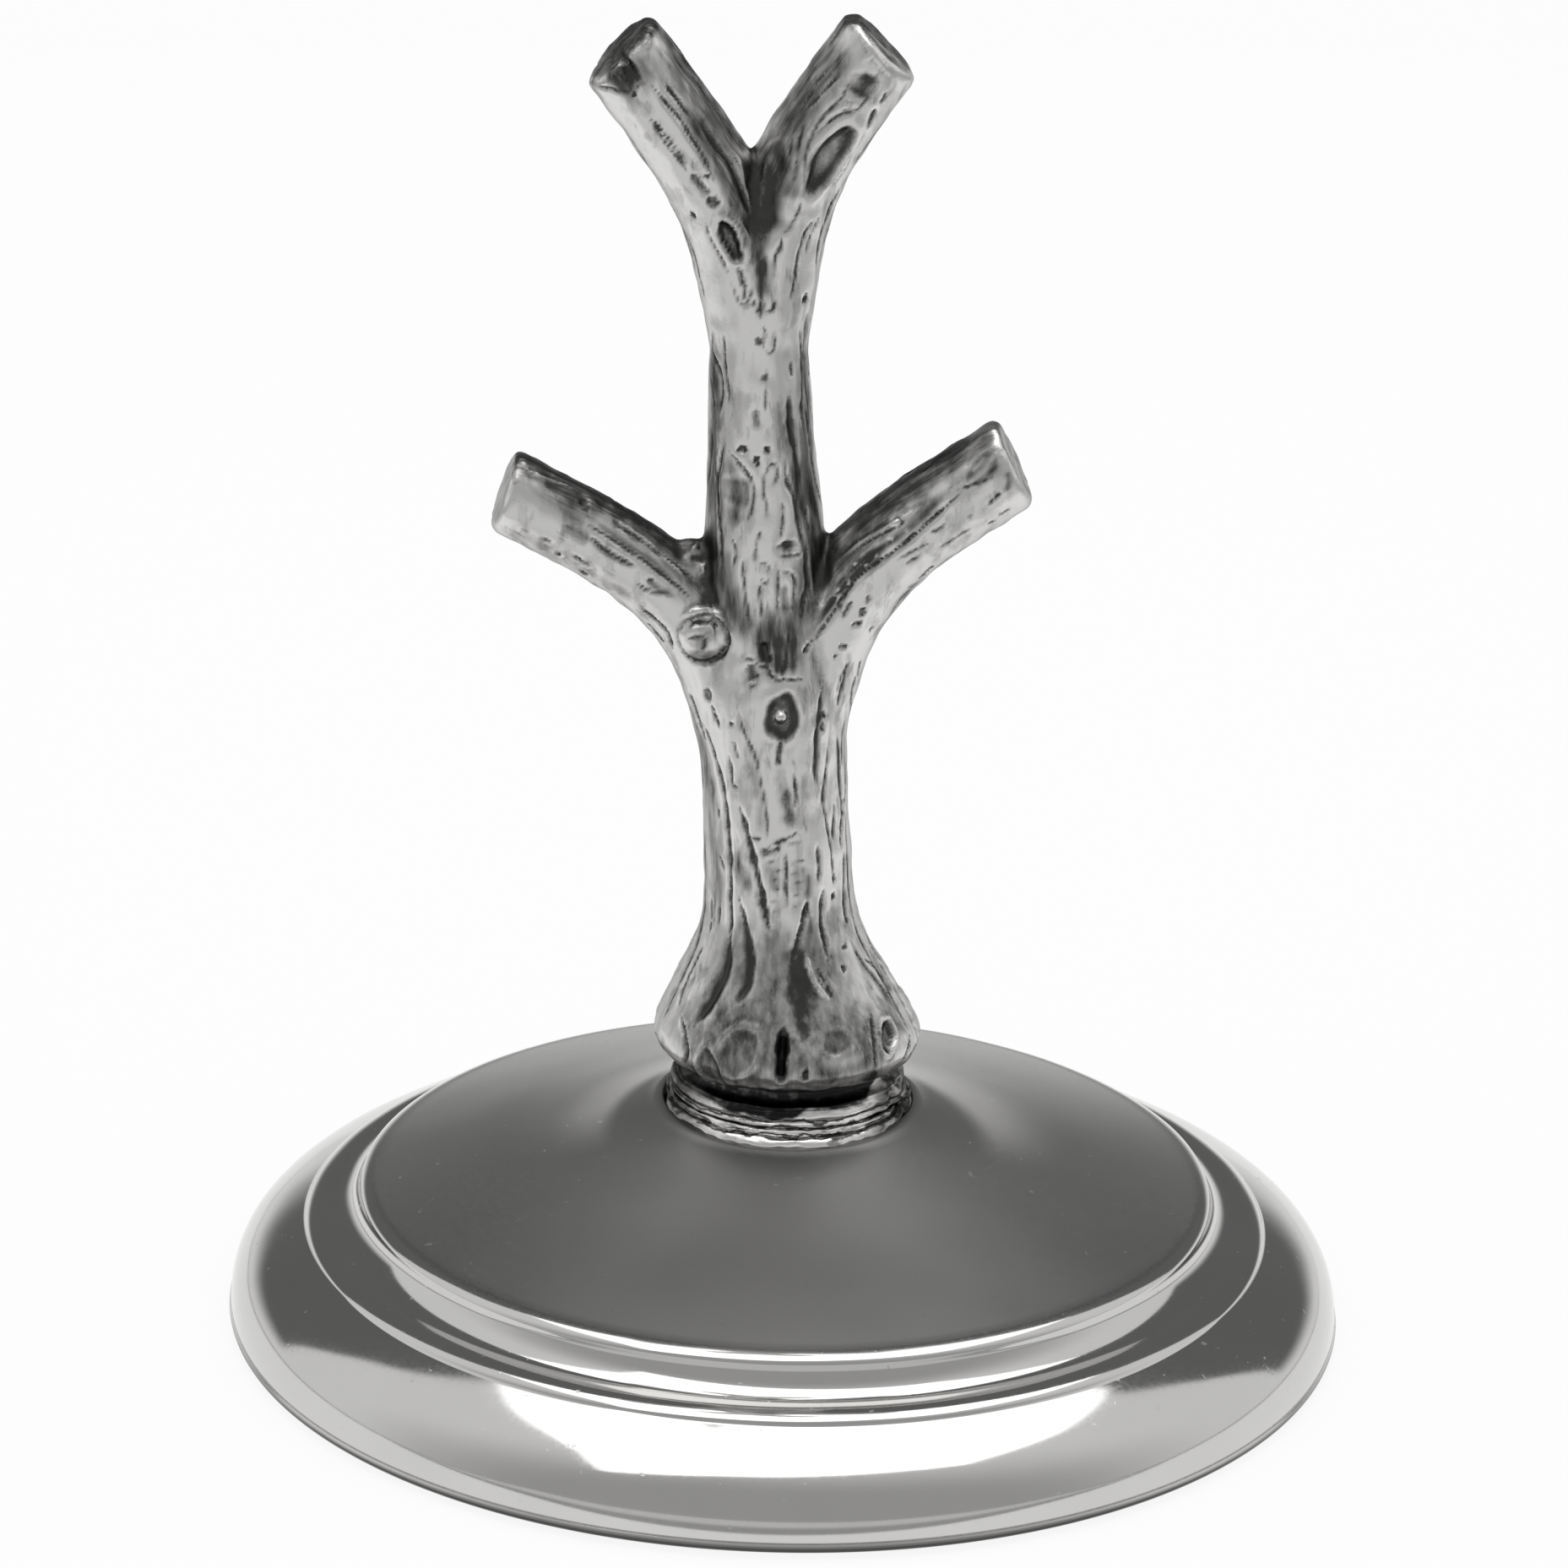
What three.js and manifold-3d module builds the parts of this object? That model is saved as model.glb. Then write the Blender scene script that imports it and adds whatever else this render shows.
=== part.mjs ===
// Ring tree: a cast silver tree with four lopped branches on a stepped, spun and loaded foot.
// Millimetres, +Z up. The origin is the centre of the underside, on the table, and the front is -Y.
import * as THREE from 'three';
import { mergeVertices } from 'three/addons/utils/BufferGeometryUtils.js';
import Module from 'manifold-3d';

const wasm = await Module();
wasm.setup();

const roundSegments = 40;
const weld = 1e-4;

// Foot: the sizes of the spun shell, from its rim inwards and upwards.
const footDiameter = 75;
const rimWireWidth = 1.2;
const rimWireHeight = 1.2;
const rimWireLift = 0.35;
const shellSetback = 0.12;
const shellWall = 0.6;
const rimRise = 4.7;
const ledgeRadius = 32.3;
const ledgeHeight = 7.2;
const ledgeEdgeRound = 0.55;
const plateauRadius = 28.5;
const plateauHeight = 9.55;
const plateauEdgeRound = 0.8;
const coveRadius = 1.4;
const neckRadius = 8.6;
const neckHeight = 15.3;

// How the top rises from the step to the neck: nearly a cone, with a short flare at the neck.
const flareSlopeShare = 0.8;
const flarePowerShare = 16;

// Filling, closing disc and baize under the shell.
const baizeThickness = 1;
const discThickness = 0.8;
const fillingClearance = 0.3;
const discClearance = 0.3;

// Collar between the foot and the roots, and the fillet of solder round it.
const collarRadius = 8.45;
const collarHeight = 3.2;
const collarBulge = 0.25;
const solderHeight = 0.6;
const solderSpread = 0.6;
const solderClearance = 0.05;
const solderWaveShare = 0.3;

// Spigot: the peg under the roots that passes through the collar into the filling.
const spigotRadius = 2.5;
const spigotLength = 6.4;
const spigotClearance = 0.3;

// Tree: its heights are measured upwards from the top of the collar.
const rootRadius = 8.9;
const rootHeight = 11;
const boleRadius = 4.9;
const boleDepthRadius = 4.8;
const boleHeight = 27;
const leaderRadius = 3.22;
const leaderFootRadius = 4.5;
const leaderBase = 21;
const leaderHeight = 56;
const treeLean = 3.7;
const leanHeight = 61.4;
const leanPowerShare = 0.85;

// Branches: where each leaves the tree's axis, the way it swings, and its cut end.
const lowerLeftRadius = 2.7;
const lowerLeftStart = 18;
const lowerLeftOffset = 2.1;
const lowerLeftClimb = 14;
const lowerLeftReach = 19.25;
const lowerLeftTip = 39.2;
const lowerLeftForward = 1.6;
const lowerLeftSwing = 9.2;
const lowerLeftPitch = THREE.MathUtils.degToRad(29);

const lowerRightRadius = 3.05;
const lowerRightStart = 22;
const lowerRightOffset = 1.85;
const lowerRightClimb = 12;
const lowerRightReach = 13.7;
const lowerRightTip = 41.4;
const lowerRightForward = 0;
const lowerRightSwing = 7.2;
const lowerRightPitch = THREE.MathUtils.degToRad(36.5);

const upperLeftRadius = 2.93;
const upperLeftStart = 46;
const upperLeftOffset = 0.1;
const upperLeftClimb = 10.1;
const upperLeftReach = 12.1;
const upperLeftTip = 68.2;
const upperLeftForward = 2.2;
const upperLeftSwing = 8;
const upperLeftPitch = THREE.MathUtils.degToRad(53.5);

const upperRightRadius = 3.03;
const upperRightStart = 47;
const upperRightOffset = 0.25;
const upperRightClimb = 11;
const upperRightReach = 4.45;
const upperRightTip = 68.5;
const upperRightForward = 0;
const upperRightSwing = 8.5;
const upperRightPitch = THREE.MathUtils.degToRad(56);

// A branch is a little thicker where it springs from the stem.
const branchSwellShare = 0.1;

const cutEdgeRound = 0.4;
const cutDome = 0.25;
const cutSlant = THREE.MathUtils.degToRad(10);

// Bark: how deep its furrows are, and how many steps the limbs are drawn in.
const barkDepth = 0.3;
const rootFurrowDepth = 1.15;
const boleColumns = 40;
const boleRings = 26;
const limbColumns = 20;
const limbRings = 10;

// Knots: the oval holes that lost twigs left, and the round burl on the left.
const knotLipShare = 0.4;
const boleKnotLength = 3.4;
const boleKnotWidth = 2.2;
const boleKnotDepth = 1.3;
const twigKnotLength = 4.9;
const twigKnotWidth = 2;
const twigKnotDepth = 0.9;
const scarLength = 3.8;
const scarWidth = 1.9;
const scarDepth = 0.35;
const rootKnotSize = 2.6;
const rootKnotDepth = 0.55;
const burlRadius = 1.6;
const burlHeight = 0.9;

// Levels and radii that follow from the sizes above.
const footRadius = footDiameter / 2;
const shellBottom = rimWireLift + rimWireHeight;
const shellRadius = footRadius - shellSetback;
const collarTop = neckHeight + collarHeight;
const spigotBore = spigotRadius + spigotClearance;
const fillingInset = shellWall + fillingClearance;
const discRadius = footRadius - rimWireWidth - discClearance;
const fillingBottom = baizeThickness + discThickness;

const front = new THREE.Vector3(0, -1, 0);
const up = new THREE.Vector3(0, 0, 1);

// Welds a geometry's corners together and drops the triangles that close up.
function welded(geometry) {
  const bare = new THREE.BufferGeometry();
  bare.setAttribute('position', geometry.getAttribute('position'));
  bare.setIndex(geometry.getIndex());
  const merged = mergeVertices(bare, weld);
  const corners = merged.getIndex().array;
  const kept = [];
  for (let i = 0; i < corners.length; i += 3) {
    const [a, b, c] = corners.slice(i, i + 3);
    if (a !== b && b !== c && c !== a) kept.push(a, b, c);
  }
  merged.setIndex(kept);
  return merged;
}

function solid(geometry) {
  const mesh = welded(geometry);
  return new wasm.Manifold(new wasm.Mesh({
    numProp: 3,
    vertProperties: Float32Array.from(mesh.getAttribute('position').array),
    triVerts: Uint32Array.from(mesh.getIndex().array),
  }));
}

function geometryOf(manifold) {
  const mesh = manifold.getMesh();
  const geometry = new THREE.BufferGeometry();
  geometry.setAttribute('position', new THREE.BufferAttribute(mesh.vertProperties, 3));
  geometry.setIndex([...mesh.triVerts]);
  return geometry;
}

// Turns an outline of radius and height round the Z axis.
function turned(outline) {
  const points = outline.map(([radius, height]) => new THREE.Vector2(radius, height));
  return welded(new THREE.LatheGeometry(points, roundSegments).rotateX(Math.PI / 2));
}

function arc(centreRadius, centreHeight, radiusAcross, radiusUp, from, to, steps) {
  const points = [];
  for (let i = 0; i <= steps; i += 1) {
    const angle = THREE.MathUtils.degToRad(from + ((to - from) * i) / steps);
    points.push([
      centreRadius + radiusAcross * Math.cos(angle),
      centreHeight + radiusUp * Math.sin(angle),
    ]);
  }
  return points;
}

// The shoulder of a step: rounded where its radius outlives the inset, else a plain corner.
function shoulder(radius, height, round, steps) {
  if (round <= 0) return [[radius, height]];
  return arc(radius - round, height - round, round, round, 0, 90, steps);
}

// The foot's outline from the rim up to the neck, moved inwards by an inset.
function footOutline(inset) {
  const rimTop = shellBottom + rimRise - inset;
  const flareStart = plateauRadius - inset - Math.max(plateauEdgeRound - inset, 0);
  const flareEnd = neckRadius - inset;
  const flareSteps = inset > 0 ? 5 : 8;
  const rimSteps = inset > 0 ? 4 : 6;
  const riser = plateauHeight - ledgeHeight - Math.max(plateauEdgeRound, fillingInset);
  const cove = Math.min(coveRadius, riser);
  const outline = [
    ...arc(
      ledgeRadius, shellBottom, shellRadius - ledgeRadius - inset, rimRise - inset, 0, 90, rimSteps,
    ),
    ...(inset > 0 ? [[ledgeRadius - inset, rimTop]] : []),
    ...shoulder(ledgeRadius - inset, ledgeHeight - inset, ledgeEdgeRound - inset, 2),
    ...arc(
      plateauRadius + cove, ledgeHeight + cove, cove + inset, cove + inset, 270, 180, 3,
    ),
    ...shoulder(plateauRadius - inset, plateauHeight - inset, plateauEdgeRound - inset, 2),
  ];
  for (let i = 1; i <= flareSteps; i += 1) {
    const share = 1 - (1 - i / flareSteps) ** 1.6;
    const lift = flareSlopeShare * share + (1 - flareSlopeShare) * share ** flarePowerShare;
    outline.push([
      flareStart + (flareEnd - flareStart) * share,
      plateauHeight - inset + (neckHeight - plateauHeight) * lift,
    ]);
  }
  return outline;
}

function baseShell() {
  const outside = footOutline(0);
  const inside = footOutline(shellWall).reverse();
  const bore = [[spigotBore, neckHeight], [spigotBore, neckHeight - shellWall]];
  return turned([...outside, ...bore, ...inside, outside[0]]);
}

function rimWire() {
  const inner = footRadius - rimWireWidth;
  const crown = rimWireHeight / 2;
  const outside = arc(footRadius - crown, rimWireLift + crown, crown, crown, -90, 90, 4);
  return turned([[inner, rimWireLift], ...outside, [inner, shellBottom], [inner, rimWireLift]]);
}

function baseFilling() {
  const recessFloor = collarTop - spigotLength - spigotClearance;
  const outside = footOutline(fillingInset);
  const lowest = [outside[0][0], fillingBottom];
  return turned([
    [0, fillingBottom], lowest, ...outside.filter(([, height]) => height > fillingBottom),
    [spigotBore, neckHeight - fillingInset], [spigotBore, recessFloor], [0, recessFloor],
  ]);
}

function roundPlate(radius, bottom, thickness) {
  const top = bottom + thickness;
  return turned([[0, bottom], [radius, bottom], [radius, top], [0, top]]);
}

function footCollar() {
  const middle = neckHeight + collarHeight / 2;
  const side = arc(
    collarRadius - collarBulge * 2, middle, collarBulge * 2, collarHeight / 2, -90, 90, 6,
  );
  return turned([[spigotBore, neckHeight], ...side, [spigotBore, collarTop], [spigotBore, neckHeight]]);
}

// Solder runs out unevenly, so its height and spread change round the collar.
function solderFillet() {
  const sections = [];
  const seatRadius = neckRadius + solderClearance;
  for (let i = 0; i < roundSegments; i += 1) {
    const turn = (i / roundSegments) * Math.PI * 2;
    const wave = Math.sin(turn * 5) * 0.5 + Math.sin(turn * 11 + 1) * 0.35 + Math.sin(turn * 17) * 0.15;
    const swell = 1 - solderWaveShare * 0.5 * (1 + wave);
    const height = solderHeight * swell;
    const spread = solderSpread * swell;
    const direction = new THREE.Vector3(Math.sin(turn), -Math.cos(turn), 0);
    const slope = (neckHeight - flareHeightAt(seatRadius + spread)) / spread;
    const section = [
      [seatRadius, neckHeight + height],
      [seatRadius + spread * 0.55, neckHeight - slope * spread * 0.3 + height * 0.45],
      [seatRadius + spread, neckHeight - slope * spread + solderClearance * 2],
      [seatRadius, neckHeight + solderClearance],
    ];
    sections.push(section.map(([radius, level]) => direction.clone().multiplyScalar(radius).setZ(level)));
  }
  return loft(sections, true);
}

// Height of the shell's top at a radius between the neck and the step.
function flareHeightAt(radius) {
  const outline = footOutline(0);
  for (let i = outline.length - 1; i > 0; i -= 1) {
    const [inner, high] = outline[i];
    const [outer, low] = outline[i - 1];
    if (radius <= outer) return high + ((low - high) * (radius - inner)) / (outer - inner);
  }
  return plateauHeight;
}

// Skins a row of rings that all have the same number of points.
// A closed row runs round into itself, and an open one gets a cap at each end.
function loft(rings, closed) {
  const count = rings[0].length;
  const positions = rings.flat().flatMap((point) => point.toArray());
  const faces = [];
  const last = closed ? rings.length : rings.length - 1;
  for (let i = 0; i < last; i += 1) {
    const low = i * count;
    const high = ((i + 1) % rings.length) * count;
    for (let j = 0; j < count; j += 1) {
      const next = (j + 1) % count;
      faces.push(low + j, low + next, high + next, low + j, high + next, high + j);
    }
  }
  if (!closed) {
    const ends = [rings[0], rings[rings.length - 1]];
    ends.forEach((ring, end) => {
      const middle = new THREE.Vector3();
      ring.forEach((point) => middle.add(point));
      const hub = positions.length / 3;
      positions.push(...middle.divideScalar(count).toArray());
      const offset = end * (rings.length - 1) * count;
      for (let j = 0; j < count; j += 1) {
        const next = (j + 1) % count;
        if (end) faces.push(hub, offset + j, offset + next);
        else faces.push(hub, offset + next, offset + j);
      }
    });
  }
  const geometry = new THREE.BufferGeometry();
  geometry.setAttribute('position', new THREE.Float32BufferAttribute(positions, 3));
  geometry.setIndex(faces);
  return geometry;
}

// Sideways drift of the tree's axis at a height above the collar.
function axisAt(height) {
  const share = Math.max(height, 0) / leanHeight;
  return new THREE.Vector3(-treeLean * share ** leanPowerShare, 0, collarTop + height);
}

// Distance between two shares of a turn, the short way round.
function turnGap(one, other) {
  const gap = Math.abs(one - other) % 1;
  return Math.min(gap, 1 - gap);
}

function smooth(from, to, value) {
  return THREE.MathUtils.smoothstep(value, from, to);
}

// Furrows that part the roots: share of a turn from the front, depth, and where each
// starts and ends as shares of the roots' height.
const rootFurrowShares = [
  [0.0, 1.0, -0.5, 0.85],
  [0.07, 0.55, 0.3, 1.2],
  [0.135, 0.75, -0.5, 0.7],
  [0.2, 0.5, 0.2, 1.3],
  [0.27, 0.9, -0.5, 0.8],
  [0.345, 0.6, 0.1, 1.4],
  [0.42, 0.95, -0.5, 0.9],
  [0.5, 0.55, 0.2, 1.2],
  [0.575, 0.85, -0.5, 0.8],
  [0.65, 0.6, 0.2, 1.3],
  [0.73, 0.9, -0.5, 0.75],
  [0.8, 0.5, 0.2, 1.2],
  [0.865, 0.75, -0.5, 0.7],
  [0.905, 0.8, 0.3, 1.15],
  [0.945, 0.8, 0.35, 1.25],
];
const rootFurrowWidthShare = 0.016;

function rootFurrow(turnShare, heightShare) {
  let depth = 0;
  for (const [place, strength, low, high] of rootFurrowShares) {
    const across = turnGap(turnShare, place) / rootFurrowWidthShare;
    const lengthwise = smooth(low, low + 0.25, heightShare) * (1 - smooth(high - 0.4, high, heightShare));
    depth = Math.max(depth, strength * Math.exp(-across * across) * lengthwise);
  }
  return depth;
}

// Bark: uneven long furrows that wander a little as they climb.
function barkFurrow(turnShare, runShare, furrows, seedShare) {
  const wander = 0.25 * Math.sin(runShare * 5.1 + seedShare * 9) + 0.12 * Math.sin(runShare * 13 + seedShare);
  const turn = turnShare * Math.PI;
  const coarse = 1 - Math.abs(Math.sin(turn * furrows + wander * 2 + seedShare * 3));
  const fine = 1 - Math.abs(Math.sin(turn * (furrows * 2 - 1) - wander * 3 + seedShare * 5));
  return coarse ** 3 * 0.7 + fine ** 3 * 0.3;
}

// Bole: its outline as heights in shares of the roots' height, with the swell of the
// roots as a share of the way from the bole's radius to the roots' radius.
const rootOutlineShares = [
  [0, 0.7], [0.05, 0.92], [0.145, 1], [0.24, 0.92], [0.345, 0.78], [0.46, 0.62],
  [0.57, 0.45], [0.68, 0.27], [0.79, 0.14], [0.9, 0.06], [1, 0.02],
];
// Above the roots: shares of the bole's height and of its radius.
const boleOutlineShares = [
  [0.56, 1], [0.7, 0.99], [0.85, 1.01], [0.96, 1], [1.05, 0.93], [1.13, 0.78], [1.19, 0.55],
];
const rootOutline = rootOutlineShares.map(([height, swell]) => new THREE.Vector2(
  boleRadius + (rootRadius - boleRadius) * swell, rootHeight * height,
));
const boleOutline = boleOutlineShares.map(([height, radius]) => new THREE.Vector2(
  boleRadius * radius, boleHeight * height,
));
const boleProfile = new THREE.SplineCurve([...rootOutline, ...boleOutline]);

function boleAt(turnShare, runShare) {
  const { x: radius, y: height } = boleProfile.getPointAt(runShare);
  const centre = axisAt(height);
  const roundness = smooth(rootHeight, 0, height);
  const depthShare = THREE.MathUtils.lerp(boleDepthRadius / boleRadius, 1, roundness);
  const bark = barkDepth * barkFurrow(turnShare, runShare, 7, 0.3) * smooth(0, 0.25, runShare);
  const furrow = rootFurrowDepth * rootFurrow(turnShare, height / rootHeight) + bark;
  const turn = turnShare * Math.PI * 2;
  return new THREE.Vector3(
    centre.x + (radius - furrow) * Math.sin(turn),
    -(radius * depthShare - furrow) * Math.cos(turn),
    centre.z,
  );
}

// A limb is a tube round a curve, measured round from its front side.
function limb(spine, girth, seedShare) {
  return (turnShare, runShare, back = 0, radiusShare = 1) => {
    const along = spine.getTangentAt(runShare);
    const side = new THREE.Vector3().crossVectors(along, front).normalize();
    const face = new THREE.Vector3().crossVectors(side, along).normalize();
    const bark = barkDepth * barkFurrow(turnShare, runShare, 4, seedShare);
    const radius = girth(runShare) * radiusShare - bark * smooth(0.3, 1, radiusShare);
    const turn = turnShare * Math.PI * 2;
    const rise = side.z * radius * Math.sin(turn);
    const overhang = rise * Math.tan(cutSlant) * smooth(0.75, 1, runShare);
    return spine.getPointAt(runShare)
      .addScaledVector(face, radius * Math.cos(turn))
      .addScaledVector(side, radius * Math.sin(turn))
      .addScaledVector(along, overhang - back);
  };
}

function ringOf(surface, columns, ...place) {
  return Array.from({ length: columns }, (_, j) => surface(j / columns, ...place));
}

// Leader: the stem between the two forks. It ends inside the upper branches.
const leaderSpine = new THREE.CatmullRomCurve3(
  [0, 0.25, 0.5, 0.75, 1].map((share) => axisAt(leaderBase + (leaderHeight - leaderBase) * share)),
);
function leaderGirth(runShare) {
  const taper = THREE.MathUtils.lerp(leaderFootRadius, leaderRadius, smooth(0.25, 0.8, runShare));
  return taper * (1 - 0.55 * smooth(0.76, 1, runShare));
}
const leader = limb(leaderSpine, leaderGirth, 0.55);

// A branch leaves the axis upwards, swings out and ends in a saw cut.
function branchSpine(sideways, start, offset, climb, reach, tip, forward, swing, pitch) {
  const root = axisAt(start).add(new THREE.Vector3(sideways * offset, 0, 0));
  const end = new THREE.Vector3(sideways * reach, -forward, collarTop + tip);
  const outward = new THREE.Vector3(sideways * Math.cos(pitch), 0, Math.sin(pitch));
  return new THREE.CubicBezierCurve3(
    root,
    root.clone().addScaledVector(up, climb),
    end.clone().addScaledVector(outward, -swing).setY(-forward / 2),
    end,
  );
}

const branches = [
  [lowerLeftRadius, 0.1, branchSpine(
    -1, lowerLeftStart, lowerLeftOffset, lowerLeftClimb, lowerLeftReach,
    lowerLeftTip, lowerLeftForward, lowerLeftSwing, lowerLeftPitch,
  )],
  [lowerRightRadius, 0.35, branchSpine(
    1, lowerRightStart, lowerRightOffset, lowerRightClimb, lowerRightReach,
    lowerRightTip, lowerRightForward, lowerRightSwing, lowerRightPitch,
  )],
  [upperLeftRadius, 0.6, branchSpine(
    -1, upperLeftStart, upperLeftOffset, upperLeftClimb, upperLeftReach,
    upperLeftTip, upperLeftForward, upperLeftSwing, upperLeftPitch,
  )],
  [upperRightRadius, 0.85, branchSpine(
    1, upperRightStart, upperRightOffset, upperRightClimb, upperRightReach,
    upperRightTip, upperRightForward, upperRightSwing, upperRightPitch,
  )],
].map(([radius, seedShare, spine]) => ({
  radius,
  spine,
  surface: limb(spine, (runShare) => (
    radius * (1 + branchSwellShare * (1 - smooth(0.2, 0.75, runShare)))
  ), seedShare),
}));
const [lowerLeft, lowerRight, upperLeft, upperRight] = branches;

function branchSolid({ radius, spine, surface }) {
  const shoulderShare = 1 - (cutEdgeRound + cutDome) / spine.getLength();
  const rings = [];
  for (let i = 0; i <= limbRings; i += 1) {
    rings.push(ringOf(surface, limbColumns, (shoulderShare * i) / limbRings));
  }
  for (const degrees of [30, 60, 90]) {
    const angle = THREE.MathUtils.degToRad(degrees);
    const back = cutDome + cutEdgeRound * (1 - Math.sin(angle));
    const radiusShare = 1 - (cutEdgeRound * (1 - Math.cos(angle))) / radius;
    rings.push(ringOf(surface, limbColumns, 1, back, radiusShare));
  }
  rings.push(ringOf(surface, limbColumns, 1, 0, 0.45));
  return solid(loft(rings, false));
}

function limbSolid(surface, columns, count) {
  const rings = Array.from({ length: count + 1 }, (_, i) => ringOf(surface, columns, i / count));
  return solid(loft(rings, false));
}

// Places an unturned shape on a limb: its Z looks outwards and its Y runs along the limb.
function seatedOn(surface, turnShare, runShare, shape) {
  const step = 0.01;
  const place = surface(turnShare, runShare);
  const along = surface(turnShare, runShare + step).sub(surface(turnShare, runShare - step)).normalize();
  const across = surface(turnShare + step, runShare).sub(surface(turnShare - step, runShare)).normalize();
  const outward = new THREE.Vector3().crossVectors(across, along).normalize();
  const square = new THREE.Vector3().crossVectors(along, outward).normalize();
  const frame = new THREE.Matrix4().makeBasis(square, along, outward).setPosition(place);
  return shape.applyMatrix4(frame);
}

// A knot is an oval bowl in the bark, most with a rolled lip round it.
function knot(surface, [turnShare, runShare], { length, width, depth, lipShare }) {
  const bowl = new THREE.SphereGeometry(1, 10, 6).scale(width / 2, length / 2, depth);
  const roll = new THREE.TorusGeometry(1, lipShare, 5, 12).scale(width / 2, length / 2, width / 2);
  return {
    bowl: solid(seatedOn(surface, turnShare, runShare, bowl)),
    lip: lipShare > 0 ? solid(seatedOn(surface, turnShare, runShare, roll)) : null,
  };
}

const openKnot = {
  length: boleKnotLength, width: boleKnotWidth, depth: boleKnotDepth, lipShare: knotLipShare,
};
const longKnot = {
  length: twigKnotLength, width: twigKnotWidth, depth: twigKnotDepth, lipShare: knotLipShare,
};
const shortKnot = {
  length: scarLength, width: scarWidth, depth: twigKnotDepth, lipShare: knotLipShare,
};
const flatScar = { length: scarLength, width: scarWidth, depth: scarDepth, lipShare: 0 };
const rootScar = { length: rootKnotSize, width: rootKnotSize, depth: rootKnotDepth, lipShare: 0 };

// Where knots and scars lie: share of a turn from the limb's front, and share of its length.
const boleKnotShares = [[0.023, 0.767], [0.47, 0.6]];
const leaderScarShares = [[0.912, 0.58]];
const upperRightKnotShares = [[0.03, 0.66]];
const upperLeftKnotShares = [[0.02, 0.42]];
const upperLeftBackShares = [[0.52, 0.66]];
const lowerRightBackShares = [[0.5, 0.6]];
const rootScarShares = [
  [0.945, 0.1], [0.894, 0.08], [0.078, 0.1], [0.153, 0.1], [0.46, 0.12], [0.69, 0.12], [0.827, 0.09],
];
const knots = [
  ...boleKnotShares.map((place) => knot(boleAt, place, openKnot)),
  ...upperRightKnotShares.map((place) => knot(upperRight.surface, place, longKnot)),
  ...upperLeftKnotShares.map((place) => knot(upperLeft.surface, place, shortKnot)),
  ...upperLeftBackShares.map((place) => knot(upperLeft.surface, place, longKnot)),
  ...lowerRightBackShares.map((place) => knot(lowerRight.surface, place, shortKnot)),
  ...leaderScarShares.map((place) => knot(leader, place, flatScar)),
  ...rootScarShares.map((place) => knot(boleAt, place, rootScar)),
];

// The burl is a low button with a crescent roll over its upper side.
function burl() {
  const button = new THREE.SphereGeometry(1, 14, 8).scale(burlRadius, burlRadius, burlHeight);
  const roll = new THREE.TorusGeometry(burlRadius * 0.85, burlHeight * 0.5, 5, 12, Math.PI * 1.1);
  return [button, closedRoll(roll)].map((shape) => solid(seatedOn(lowerLeft.surface, 0.05, 0.445, shape)));
}

// An open torus gets a cap at each end.
function closedRoll(roll) {
  const rings = [];
  const { radialSegments, tubularSegments } = roll.parameters;
  const position = roll.getAttribute('position');
  for (let i = 0; i <= tubularSegments; i += 1) {
    rings.push(Array.from({ length: radialSegments }, (_, j) => (
      new THREE.Vector3().fromBufferAttribute(position, j * (tubularSegments + 1) + i)
    )).reverse());
  }
  return loft(rings, false);
}

function treeCasting() {
  const peg = new THREE.CylinderGeometry(spigotRadius, spigotRadius, spigotLength + rootHeight / 2, 24)
    .rotateX(Math.PI / 2)
    .translate(0, 0, collarTop + (rootHeight / 2 - spigotLength) / 2);
  let tree = limbSolid(boleAt, boleColumns, boleRings)
    .add(solid(peg))
    .add(limbSolid(leader, limbColumns, limbRings));
  for (const branch of branches) tree = tree.add(branchSolid(branch));
  for (const { lip } of knots) if (lip) tree = tree.add(lip);
  for (const { bowl } of knots) tree = tree.subtract(bowl);
  for (const piece of burl()) tree = tree.add(piece);
  return geometryOf(tree);
}

const silver = { color: 0xdcdad6, roughness: 0.18, metalness: 1 };
const pieces = [
  ['tree_casting', treeCasting(), silver],
  ['foot_collar', footCollar(), silver],
  ['solder_fillet', solderFillet(), { color: 0xd2d0cc, roughness: 0.3, metalness: 1 }],
  ['base_shell', baseShell(), { color: 0xe2e0dc, roughness: 0.08, metalness: 1 }],
  ['rim_wire', rimWire(), { color: 0xe2e0dc, roughness: 0.08, metalness: 1 }],
  ['base_filling', baseFilling(), { color: 0x2b2622, roughness: 0.85, metalness: 0 }],
  ['closing_disc', roundPlate(discRadius, baizeThickness, discThickness), {
    color: 0x8a6a45, roughness: 0.8, metalness: 0,
  }],
  ['baize_pad', roundPlate(discRadius, 0, baizeThickness), {
    color: 0x1f4a33, roughness: 0.95, metalness: 0,
  }],
];

const ringTree = new THREE.Group();
for (const [name, geometry, look] of pieces) {
  const mesh = new THREE.Mesh(geometry, new THREE.MeshStandardMaterial(look));
  mesh.name = name;
  ringTree.add(mesh);
}

export default ringTree;
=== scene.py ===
"""A cast silver ring tree on a spun, stepped foot.

Lengths are in millimetres while a piece is modelled, and in metres once it is placed.
The front of the tree looks along -Y, and the underside of the foot is at the origin.
"""

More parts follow.
